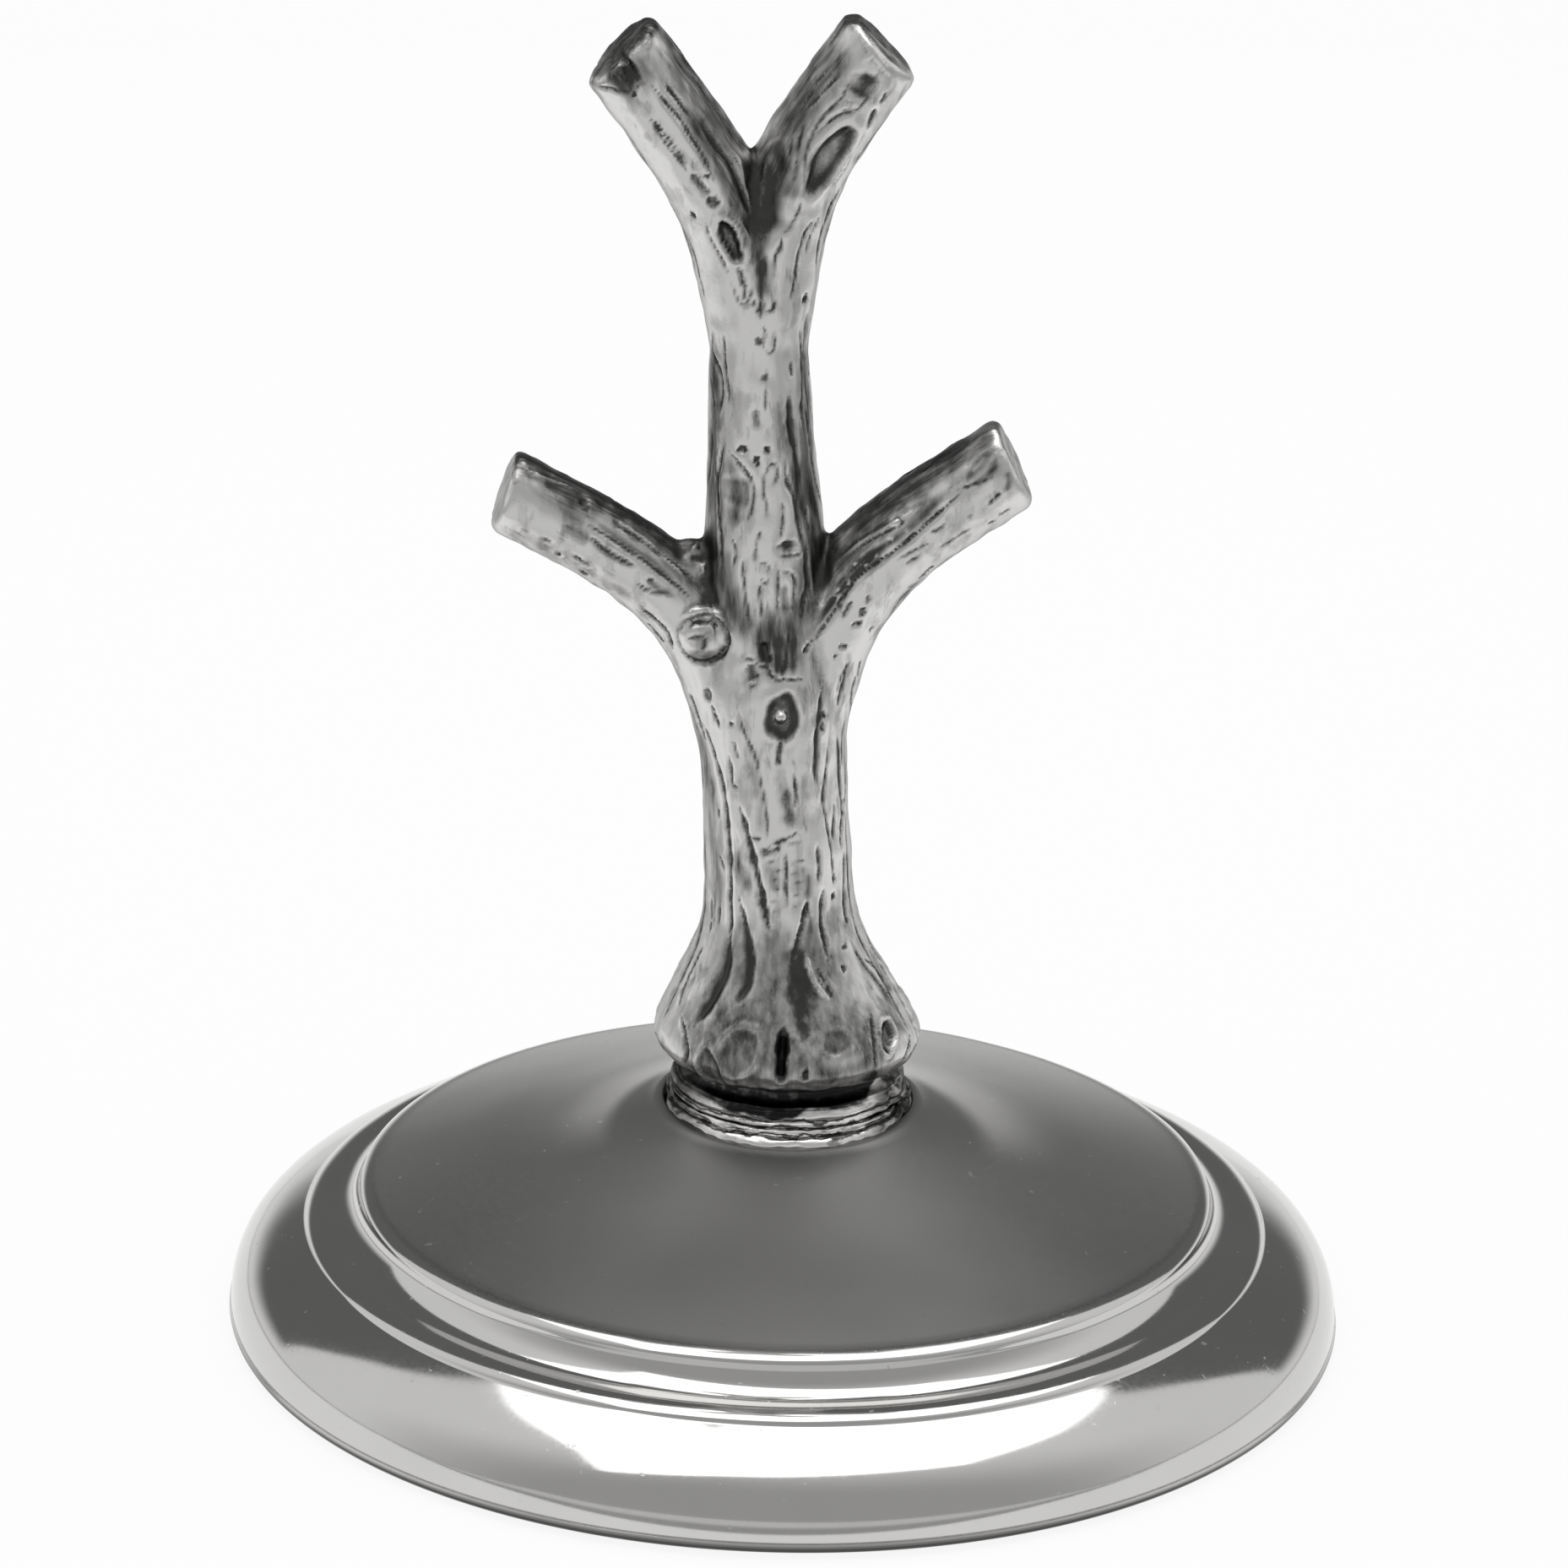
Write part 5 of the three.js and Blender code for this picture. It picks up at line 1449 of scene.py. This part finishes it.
def grain_of(surface):
    """Fine ripples of the skin, and each vertex's place along and round its limb."""
    places = surface.places
    best = np.full(len(places), np.inf)
    run = np.zeros(len(places))
    side = np.zeros((len(places), 3))
    limb_of = np.zeros(len(places))
    for index, (middles, radius) in enumerate(limb_lines()):
        line = np.array(middles)
        steps = np.concatenate([[0], np.cumsum(np.linalg.norm(np.diff(line, axis=0), axis=1))])
        for i, point in enumerate(line):
            along = line[min(i + 1, len(line) - 1)] - line[max(i - 1, 0)]
            along /= np.linalg.norm(along)
            gap = places - point
            distance = np.linalg.norm(gap, axis=1) / radius
            closer = distance < best
            ahead = gap[closer] @ along
            best[closer] = distance[closer]
            run[closer] = steps[i] + ahead
            side[closer] = (gap[closer] - ahead[:, None] * along) / radius
            limb_of[closer] = index
    values = np.empty(len(places))
    long, even, fine = RIPPLE_HEIGHTS
    for i, place in enumerate(places):
        x, y, z = place
        drawn_out = Vector((x * RIPPLE_ACROSS, y * RIPPLE_ACROSS, z * RIPPLE_ALONG))
        values[i] = long * noise.noise(drawn_out) + even * noise.noise(Vector(place) * EVEN_RIPPLE)
        values[i] += fine * noise.noise(drawn_out * FINE_RIPPLE)
    across = side[:, :2] * BARK_ROUND
    across[:, 0] += limb_of * BARK_APART
    bark = np.column_stack([across, run * BARK_ALONG])
    return values, bark


def tree_piece():
    """The tree's mesh with all its marks, in metres."""
    mesh = tree_body()
    surface = Surface(mesh)
    mark_front(surface)
    mark_back(surface)
    mark_roots(surface)
    surface.finish(*grain_of(surface))
    mesh.name = "cast_tree"
    return mesh


# Finishes.

# Tree: ripples to the millimetre of its patches and fine grain, and scale of the streaks.
PATCH_SCALE = 0.55
FINE_SCALE = 4
STREAK_SCALE = 3.2
# How far the grain moves a furrow's edge, and how much each kind of mark darkens the metal.
FURROW_WOBBLE = 0.9
FURROW_DARKNESS = 0.5
STREAK_DARKNESS = 0.18
MOTTLE_DARKNESS = 0.16
WORN_BRIGHTNESS = 0.16
# Colour of the very darkest marks: a painted deep shade in the blackest slots, crotches and end
# faces.
DEEP_SHADE = (0.01, 0.01, 0.01)
HOLLOW_ROUGHNESS = 0.42

# Foot: radii in millimetres between which its top turns satin, and then takes painted shade near
# the neck.
SATIN_EDGE = (28.2, 27.4)
NECK_SHADE_EDGE = (17, 10)
# Share of the foot's silver in each zone: clouds, painted shade on the top, painted shade near the
# neck, painted light behind the tree, painted shade before it, and the two painted highlight
# sweeps.
CLOUD_SHARE = 0.9
TOP_SHADE_SHARE = 0.56
NECK_SHADE_SHARE = 0.5
BACK_LIGHT_SHARE = 0.9
FRONT_SHADE_SHARE = 0.32
SWEEP_HIGHLIGHT_SHARE = 1.4
# The painted highlight sweeps curl round the collar: radius of their start in millimetres, and
# radians to the metre outward from there on the left and on the right.
SWEEP_HIGHLIGHT_START = 9.75
SWEEP_HIGHLIGHT_CURLS = (250, 165)
SATIN_ROUGHNESS = 0.3
WEAR_ROUGHNESS = 0.07
PIT_ROUGHNESS = 0.2

# Collar and solder.
SOLDER_BRIGHT = (0.82, 0.81, 0.8)
SOLDER_DARK = (0.1, 0.098, 0.095)
# Painted shade on the sides of the collar and the bead.
SOLDER_SIDE_SHADE = (0.12, 0.118, 0.115)
# Painted shadow in the gap under the roots.
ROOT_SHADOW = (0.02, 0.02, 0.02)
SOLDER_ROUGHNESS = 0.2


class Recipe:
    """The nodes of a finish while they are put together."""

    def __init__(self, tree):
        self.nodes = tree.nodes
        self.links = tree.links

    def add(self, kind, **settings):
        node = self.nodes.new(kind)
        for key, value in settings.items():
            setattr(node, key, value)
        return node

    def give(self, socket, value):
        """Links a value to a socket, or writes it there if it is a plain number or colour."""
        if hasattr(value, "is_linked"):
            self.links.new(value, socket)
        else:
            socket.default_value = value

    def calculate(self, operation, *values, clamp=False):
        node = self.add("ShaderNodeMath", operation=operation, use_clamp=clamp)
        for socket, value in zip(node.inputs, values):
            self.give(socket, value)
        return node.outputs[0]

    def plus(self, first, second):
        return self.calculate("ADD", first, second)

    def less(self, first, second, clamp=False):
        return self.calculate("SUBTRACT", first, second, clamp=clamp)

    def times(self, first, second):
        return self.calculate("MULTIPLY", first, second)

    def most(self, first, second):
        return self.calculate("MAXIMUM", first, second)

    def size(self, value):
        """A value without its sign."""
        return self.calculate("ABSOLUTE", value)

    def ranged(self, value, low, high, to_low=0.0, to_high=1.0, smooth=True):
        """Changes from one level to another while a value goes from low to high."""
        node = self.add(
            "ShaderNodeMapRange", interpolation_type="SMOOTHSTEP" if smooth else "LINEAR")
        settings = {"From Min": low, "From Max": high, "To Min": to_low, "To Max": to_high}
        for key, number in (*settings.items(), ("Value", value)):
            self.give(node.inputs[key], number)
        return node.outputs["Result"]

    def zone(self, place, start, full, to_low=0.0, to_high=1.0):
        """Changes from one level to another between two places in millimetres."""
        return self.ranged(place, start * MM, full * MM, to_low, to_high)

    def mixed(self, factor, first, second):
        """Goes from the first colour to the second as the factor goes from 0 to 1."""
        node = self.add("ShaderNodeMix", data_type="RGBA")
        self.give(node.inputs["Factor"], factor)
        for place, colour in ((6, first), (7, second)):
            linked = hasattr(colour, "is_linked")
            self.give(node.inputs[place], colour if linked else (*colour, 1))
        return node.outputs[2]

    def own_value(self, name, output="Fac"):
        """A value that is stored on the piece."""
        return self.add("ShaderNodeAttribute", attribute_name=name).outputs[output]

    def place(self):
        """Across, deep and high in the object's own coordinates."""
        parts = self.add("ShaderNodeSeparateXYZ")
        self.give(parts.inputs[0], self.add("ShaderNodeTexCoord").outputs["Object"])
        return parts.outputs["X"], parts.outputs["Y"], parts.outputs["Z"]

    def noise(self, where, scale, detail, roughness):
        texture = self.add("ShaderNodeTexNoise")
        texture.inputs["Scale"].default_value = scale
        texture.inputs["Detail"].default_value = detail
        texture.inputs["Roughness"].default_value = roughness
        self.give(texture.inputs["Vector"], where)
        return texture.outputs["Fac"]

    def object_noise(self, scale, detail, roughness, stretch=None):
        """Noise on object coordinates, with its scale in ripples to the millimetre."""
        where = self.add("ShaderNodeTexCoord").outputs["Object"]
        if stretch:
            mapping = self.add("ShaderNodeMapping")
            mapping.inputs["Scale"].default_value = stretch
            self.give(mapping.inputs["Vector"], where)
            where = mapping.outputs["Vector"]
        return self.noise(where, scale / MM, detail, roughness)


class Finish(Recipe):
    """A material with its shader."""

    def __init__(self, name):
        self.material = bpy.data.materials.new(name)
        self.material.use_nodes = True
        super().__init__(self.material.node_tree)
        self.shader = self.nodes["Principled BSDF"]

    def set(self, **values):
        """Gives the shader's sockets their values."""
        for key, value in values.items():
            self.give(self.shader.inputs[key.replace("_", " ")], value)

    def bump(self, height, strength, distance):
        """Roughens the surface by a height, up to a distance in millimetres."""
        bump = self.add("ShaderNodeBump")
        bump.inputs["Strength"].default_value = strength
        bump.inputs["Distance"].default_value = distance * MM
        self.give(bump.inputs["Height"], height)
        self.set(Normal=bump.outputs["Normal"])

    def show(self, surface):
        self.give(self.nodes["Material Output"].inputs["Surface"], surface)


def grey(level):
    return level, level, level


def share_of(colour, share):
    return tuple(channel * share for channel in colour)


def tree_silver():
    """Cast silver: bright where it is worn, dark with oxide in the hollows, streaked along the
    bark, and darkened by painted shade and painted dark reflection where the marks store them.
    """
    values = finish_values()
    mix = Finish("oxidised_silver")
    mix.set(Metallic=1, Specular_Tint=(*grey(0.55), 1))
    streak = mix.noise(mix.own_value("bark", "Vector"), STREAK_SCALE, 5, 0.62)
    patchy = mix.object_noise(PATCH_SCALE, 4, 0.6, stretch=(1, 1, 0.4))
    fine = mix.object_noise(FINE_SCALE, 4, 0.65)
    grain = mix.plus(streak, fine)
    broken = mix.times(mix.less(grain, 1.0), FURROW_WOBBLE)
    furrow = mix.ranged(mix.plus(mix.own_value("furrow"), broken), 0.0, 1.0)
    groove = mix.times(furrow, FURROW_DARKNESS)
    # The stored dark metal is partly tarnish and partly painted shade and painted dark reflection.
    tarnish_and_shade = mix.times(mix.own_value("tarnish_and_shade"), mix.ranged(streak, 0.36, 0.6, 0.68, 1.08))
    cavity = mix.times(mix.own_value("cavity"), mix.ranged(fine, 0.3, 0.6, 0.25, 0.45))
    lines = mix.ranged(streak, 0.55, 0.66, 0.0, STREAK_DARKNESS)
    lines = mix.times(lines, mix.ranged(patchy, 0.42, 0.6))
    mottle = mix.ranged(patchy, 0.5, 0.6, 0.0, MOTTLE_DARKNESS)
    dark = mix.plus(mix.most(groove, tarnish_and_shade), cavity)
    dark = mix.plus(dark, mix.plus(lines, mottle))
    worn = mix.times(mix.own_value("worn"), WORN_BRIGHTNESS)
    dark = mix.less(dark, worn, clamp=True)
    light = mix.calculate("POWER", mix.less(1.0, dark), 2.0)
    colour = mix.mixed(light, values.tree_tarnish_and_shade, values.tree_silver)
    deep_shade = mix.ranged(mix.own_value("tarnish_and_shade"), 0.96, 1.2)
    rough = mix.ranged(dark, 0.0, 1.0, values.tree_roughness, HOLLOW_ROUGHNESS, smooth=False)
    mix.set(Base_Color=mix.mixed(deep_shade, colour, DEEP_SHADE), Roughness=rough)
    mix.bump(grain, 0.15, 0.08)
    return mix.material


def foot_silver(name, extra_roughness=0.0):
    """Spun and polished silver with fine wear and a few pits, satin on its top, with painted shade
    on the top, near the neck and before the tree, painted light behind it, two painted highlight
    sweeps round the collar and a painted shadow along the lowest edge.
    """
    values = finish_values()
    base = tuple(values.foot_silver)
    mix = Finish(name)
    across, deep, high = mix.place()
    cloud = mix.object_noise(0.12, 3, 0.5)
    wear = mix.object_noise(3.5, 5, 0.7)
    pits = mix.ranged(mix.object_noise(1.6, 2, 0.5), 0.7, 0.76)
    radius = mix.calculate("SQRT", mix.plus(
        mix.calculate("POWER", across, 2.0), mix.calculate("POWER", deep, 2.0)))
    on_top = mix.zone(radius, *SATIN_EDGE)
    behind = mix.times(on_top, mix.zone(deep, 2, 24))
    before = mix.times(on_top, mix.zone(deep, -2, -22))
    curl = mix.zone(across, -1, 1, *SWEEP_HIGHLIGHT_CURLS)
    turn = mix.calculate("ARCTAN2", deep, mix.size(across))
    turn = mix.plus(turn, mix.times(mix.less(radius, SWEEP_HIGHLIGHT_START * MM), curl))
    highlight_sweep = mix.times(mix.ranged(turn, 0.22, 0.6), mix.ranged(turn, 0.55, 1.7, 1.0, 0.25))
    highlight_sweep = mix.times(highlight_sweep, mix.zone(radius, 20, 13.5))
    highlight_sweep = mix.times(highlight_sweep, mix.zone(deep, -7, 1))
    colour = mix.mixed(cloud, base, share_of(base, CLOUD_SHARE))
    # The zones paint light and shade into the colour: darker on the top, near the neck and before
    # the tree, lighter behind it, and two painted highlights sweeping round the collar.
    for zone, share in (
            (on_top, TOP_SHADE_SHARE), (mix.zone(radius, *NECK_SHADE_EDGE), NECK_SHADE_SHARE),
            (behind, BACK_LIGHT_SHARE), (before, FRONT_SHADE_SHARE), (highlight_sweep, SWEEP_HIGHLIGHT_SHARE)):
        colour = mix.mixed(zone, colour, share_of(base, share))
    # Below about a millimetre the metal is painted dark: a painted contact shadow along the lowest
    # edge.
    colour = mix.mixed(mix.zone(high, 0.95, 0.7), colour, tuple(values.tree_tarnish_and_shade))
    smoothest = values.foot_roughness + extra_roughness
    rough = mix.ranged(wear, 0.3, 0.8, smoothest, smoothest + WEAR_ROUGHNESS)
    rough = mix.plus(rough, mix.times(pits, PIT_ROUGHNESS))
    rough = mix.plus(rough, mix.zone(radius, *SATIN_EDGE, 0.0, SATIN_ROUGHNESS))
    mix.set(Metallic=1, Base_Color=colour, Roughness=rough)
    mix.bump(mix.less(mix.times(wear, 0.25), pits), 0.12, 0.02)
    return mix.material


def solder_metal(name, shadow_from, grooves):
    """Uneven silver with dark ring lines, painted shade toward its sides, and a painted shadow
    above a height on the front.

    A groove is its height and half its width.
    """
    mix = Finish(name)
    across, _, high = mix.place()
    rough = mix.object_noise(0.5, 4, 0.6, stretch=(1, 1, 2.5))
    level = mix.plus(high, mix.times(mix.less(rough, 0.5), 1.1 * MM))
    shade = mix.ranged(rough, 0.56, 0.66, 0.0, 0.6)
    for height, half in grooves:
        away = mix.size(mix.less(level, height * MM))
        shade = mix.most(shade, mix.zone(away, half, half * 0.4))
    colour = mix.mixed(shade, SOLDER_BRIGHT, SOLDER_DARK)
    # Above a height that dips toward the middle, the collar is painted near black: a painted shadow
    # under the overhanging roots.
    limit = mix.zone(across, 4.8, 6.5, shadow_from * MM, (shadow_from + 1.3) * MM)
    off_middle = mix.size(mix.plus(across, 1.6 * MM))
    limit = mix.less(limit, mix.zone(off_middle, 3.4, 1.6, 0.0, 0.4 * MM))
    hollow = mix.zone(mix.less(level, limit), -0.1, 0.3)
    patchy = mix.ranged(mix.object_noise(0.45, 3, 0.6), 0.36, 0.5, 0.88, 1.0)
    hollow = mix.times(hollow, patchy)
    hollow = mix.times(hollow, mix.zone(across, -7.2, -5, 0.55, 1.0))
    # Toward its left and right the metal is painted darker, in patches: painted shade.
    beside = mix.zone(mix.size(across), 4.4, 6.6)
    dull = mix.times(beside, mix.ranged(rough, 0.4, 0.6, 1.0, 0.62))
    colour = mix.mixed(hollow, mix.mixed(dull, colour, SOLDER_SIDE_SHADE), ROOT_SHADOW)
    mix.set(
        Metallic=1, Specular_Tint=(*grey(0.35), 1), Base_Color=colour, Roughness=SOLDER_ROUGHNESS)
    mix.bump(rough, 0.2, 0.15)
    return mix.material


def plain_material(name, colour, other, roughness, scale, bump):
    """A dull material whose colour changes a little from place to place."""
    mix = Finish(name)
    texture = mix.object_noise(scale, 5, 0.65)
    colour = mix.mixed(mix.ranged(texture, 0.35, 0.7), colour, other)
    mix.set(Base_Color=colour, Roughness=roughness)
    mix.bump(texture, bump, 0.1)
    return mix.material


def baize_cloth():
    """Short-napped green baize."""
    mix = Finish("baize")
    nap = mix.object_noise(6, 6, 0.75)
    patches = mix.ranged(mix.object_noise(0.2, 3, 0.5), 0.4, 0.8)
    colour = mix.mixed(nap, (0.016, 0.05, 0.028), (0.05, 0.12, 0.07))
    colour = mix.mixed(patches, colour, (0.03, 0.075, 0.045))
    mix.set(Base_Color=colour, Roughness=0.95, Sheen_Weight=0.35)
    mix.bump(nap, 0.8, 0.15)
    return mix.material


# Stage.

FLOOR_SIZE = 6.0
# Greys of the floor: white beside the object, painted dimmer light far before it, a painted shadow
# just before it, and painted shade past its sides. The metal shows them in its reflections.
FLOOR_WHITE = grey(1)
FLOOR_FAR_SHADE = grey(0.72)
FLOOR_NEAR_SHADOW = grey(0.42)
FLOOR_PAST_SHADE = grey(0.45)
# Where the floor's painted shade starts past the sides, in metres: slope and start of the line
# behind the object, and slope of the line before it.
RIGHT_EDGE = (0.41, 0.14, -0.64)
LEFT_EDGE = (0.16, 0.145, -1.1)
FLOOR_GLOW = 0.9

SOFTBOX_HEIGHT = 0.62
SOFTBOX_BRIGHTNESS = 2.1
# Corners of the lamp in shares of its height, from its back to its front.
SOFTBOX_CORNERS = (
    (-0.44, 0.54), (0.53, 0.6), (0.54, 0.21), (0.44, -0.18),
    (0.0, -0.38), (-0.4, -0.53), (-0.6, -0.62), (-0.47, -0.18),
)

# Greys of the studio: behind and beside the tree, before it, and the dark panel behind it.
STUDIO_PALE = grey(0.86)
STUDIO_FRONT = grey(0.45)
STUDIO_PANEL = grey(0.155)


def floor_material():
    """A white sheet round the object, with a painted shadow just in front of it, painted dimmer
    light farther before it and painted shade past its sides.
    """
    mix = Finish("floor")
    x, y, _ = mix.place()
    edges = []
    for slope, start, front_slope in (RIGHT_EDGE, LEFT_EDGE):
        edges.append(mix.most(mix.plus(mix.times(y, slope), start), mix.times(y, front_slope)))
    past_right = mix.ranged(mix.less(x, edges[0]), -0.03, 0.05)
    past_left = mix.ranged(mix.plus(x, edges[1]), 0.03, -0.05)
    colour = mix.mixed(mix.ranged(y, -0.047, -0.057), FLOOR_NEAR_SHADOW, FLOOR_FAR_SHADE)
    colour = mix.mixed(mix.ranged(y, -0.0435, -0.042), colour, FLOOR_WHITE)
    colour = mix.mixed(mix.most(past_right, past_left), colour, FLOOR_PAST_SHADE)
    mix.set(Base_Color=colour, Roughness=0.9)
    path = mix.add("ShaderNodeLightPath")
    direct = mix.most(path.outputs["Is Camera Ray"], path.outputs["Is Glossy Ray"])
    direct = mix.most(direct, path.outputs["Is Transmission Ray"])
    glow = mix.add("ShaderNodeEmission")
    mix.give(glow.inputs["Color"], colour)
    glow.inputs["Strength"].default_value = 1.0
    blend = mix.add("ShaderNodeMixShader")
    mix.give(blend.inputs["Fac"], mix.times(direct, FLOOR_GLOW))
    mix.give(blend.inputs[1], mix.shader.outputs["BSDF"])
    mix.give(blend.inputs[2], glow.outputs["Emission"])
    mix.show(blend.outputs["Shader"])
    return mix.material


def lamp_material():
    mix = Finish("softbox")
    glow = mix.add("ShaderNodeEmission")
    glow.inputs["Strength"].default_value = SOFTBOX_BRIGHTNESS
    mix.show(glow.outputs["Emission"])
    mix.nodes.remove(mix.shader)
    return mix.material


def stage_piece(name, form, material):
    """Turns a form in metres into a named piece of the stage."""
    mesh = bpy.data.meshes.new(name)
    form.to_mesh(mesh)
    form.free()
    mesh.materials.append(material)
    piece = bpy.data.objects.new(name, mesh)
    bpy.context.scene.collection.objects.link(piece)


def make_floor():
    form = bmesh.new()
    bmesh.ops.create_grid(form, x_segments=1, y_segments=1, size=FLOOR_SIZE / 2)
    stage_piece("floor", form, floor_material())


def make_softbox():
    """One broad soft lamp overhead that widens toward the front."""
    form = bmesh.new()
    form.faces.new([
        form.verts.new((x * SOFTBOX_HEIGHT, y * SOFTBOX_HEIGHT, SOFTBOX_HEIGHT))
        for x, y in SOFTBOX_CORNERS
    ])
    stage_piece("softbox", form, lamp_material())


def make_camera():
    place, right, up, forward = camera_frame()
    camera = bpy.data.cameras.new("camera")
    camera.sensor_width = SENSOR_WIDTH
    camera.lens = FOCAL_PIXELS / PICTURE_WIDTH * camera.sensor_width
    camera.clip_start, camera.clip_end = CLIP_RANGE
    holder = bpy.data.objects.new("camera", camera)
    turn = Matrix((right, up, -forward)).transposed().to_4x4()
    holder.matrix_world = Matrix.Translation(place * MM) @ turn
    bpy.context.scene.collection.objects.link(holder)
    bpy.context.scene.camera = holder


def make_world():
    """A pale studio with a dark panel behind the tree and a greyer front."""
    world = bpy.data.worlds.new("studio")
    world.use_nodes = True
    bpy.context.scene.world = world
    mix = Recipe(world.node_tree)
    way = mix.add("ShaderNodeSeparateXYZ")
    mix.give(way.inputs[0], mix.add("ShaderNodeTexCoord").outputs["Generated"])
    deep, high = way.outputs["Y"], way.outputs["Z"]
    level = mix.mixed(mix.ranged(deep, 0.15, -0.7), STUDIO_PALE, STUDIO_FRONT)
    panel = mix.times(mix.ranged(high, 0.04, 0.26), mix.ranged(deep, 0.465, 0.5))
    back = mix.nodes["Background"]
    mix.give(back.inputs["Color"], mix.mixed(panel, level, STUDIO_PANEL))
    back.inputs["Strength"].default_value = 1.0


# Operators.

# The solder bead ends far below this height over the neck, so it gets none of the painted shadow.
NEVER_DARK = 9


class RINGTREE_OT_foot_shell(bpy.types.Operator):
    """Spin the stepped shell of the foot"""

    bl_idname = "ring_tree.foot_shell"
    bl_label = "Foot Shell"

    def execute(self, context):
        silver = foot_silver("polished_silver")
        new_piece(
            "foot_shell", foot_shell_form(foot_sizes()), "base_shell", silver)
        return {"FINISHED"}


class RINGTREE_OT_rim_wire(bpy.types.Operator):
    """Turn the half-round wire under the rim"""

    bl_idname = "ring_tree.rim_wire"
    bl_label = "Rim Wire"

    def execute(self, context):
        silver = foot_silver("wire_silver", 0.08)
        new_piece("foot_rim_wire", rim_wire_form(foot_sizes()), "rim_wire", silver)
        return {"FINISHED"}


class RINGTREE_OT_collar(bpy.types.Operator):
    """Turn the collar under the roots, and the solder round it"""

    bl_idname = "ring_tree.collar"
    bl_label = "Collar and Solder"

    def execute(self, context):
        foot = foot_sizes()
        low = foot.neck_height
        grooves = ((low + 0.85, 0.13), (low + 1.25, 0.12))
        band = solder_metal("collar_silver", low + 1.75, grooves)
        bead = solder_metal("solder", low + NEVER_DARK, ((low + 0.45, 0.1),))
        new_piece("collar", collar_form(foot), "foot_collar", band)
        new_piece("solder_bead", solder_form(foot), "solder_fillet", bead)
        return {"FINISHED"}


class RINGTREE_OT_tree(bpy.types.Operator):
    """Model the cast tree and work the bark and knots into it"""

    bl_idname = "ring_tree.tree"
    bl_label = "Cast Tree"

    def execute(self, context):
        place_piece("cast_tree", tree_piece(), "tree_casting", tree_silver())
        return {"FINISHED"}


class RINGTREE_OT_underside(bpy.types.Operator):
    """Finish the filling, the board and the baize"""

    bl_idname = "ring_tree.underside"
    bl_label = "Underside"

    def execute(self, context):
        pitch = plain_material("pitch", (0.02, 0.017, 0.014), (0.06, 0.05, 0.04), 0.8, 0.8, 0.6)
        board = plain_material("board", (0.2, 0.13, 0.075), (0.3, 0.21, 0.13), 0.85, 1.5, 0.3)
        dress("base_filling", pitch)
        dress("closing_disc", board)
        dress("baize_pad", baize_cloth())
        return {"FINISHED"}


class RINGTREE_OT_stage(bpy.types.Operator):
    """Set up the floor, the lamp, the studio and the camera"""

    bl_idname = "ring_tree.stage"
    bl_label = "Stage"

    def execute(self, context):
        make_camera()
        make_floor()
        make_softbox()
        make_world()
        context.scene.view_settings.view_transform = "Standard"
        return {"FINISHED"}


OPERATORS = (
    RINGTREE_OT_stage, RINGTREE_OT_foot_shell, RINGTREE_OT_rim_wire, RINGTREE_OT_collar,
    RINGTREE_OT_underside, RINGTREE_OT_tree,
)


class RINGTREE_PT_panel(bpy.types.Panel):
    """Lists the pieces of the ring tree"""

    bl_idname = "RINGTREE_PT_panel"
    bl_label = "Ring Tree"
    bl_space_type = "VIEW_3D"
    bl_region_type = "UI"
    bl_category = "Ring Tree"

    def draw(self, context):
        column = self.layout.column(align=True)
        for operator in OPERATORS:
            column.operator(operator.bl_idname, text=operator.bl_label)
        for group in (foot_sizes(), tree_sizes(), finish_values()):
            box = self.layout.box()
            for name in group.__annotations__:
                box.prop(group, name)


CLASSES = (*GROUPS, *OPERATORS, RINGTREE_PT_panel)


def register():
    for one in CLASSES:
        bpy.utils.register_class(one)
    bpy.types.Scene.ring_tree_foot = PointerProperty(type=RingTreeFootSizes)
    bpy.types.Scene.ring_tree_tree = PointerProperty(type=RingTreeTreeSizes)
    bpy.types.Scene.ring_tree_finish = PointerProperty(type=RingTreeFinish)


def unregister():
    for name in ("ring_tree_foot", "ring_tree_tree", "ring_tree_finish"):
        delattr(bpy.types.Scene, name)
    for one in reversed(CLASSES):
        bpy.utils.unregister_class(one)


def main():
    register()
    bpy.ops.ring_tree.stage()
    bpy.ops.ring_tree.foot_shell()
    bpy.ops.ring_tree.rim_wire()
    bpy.ops.ring_tree.collar()
    bpy.ops.ring_tree.underside()
    bpy.ops.ring_tree.tree()


if __name__ == "__main__":
    main()
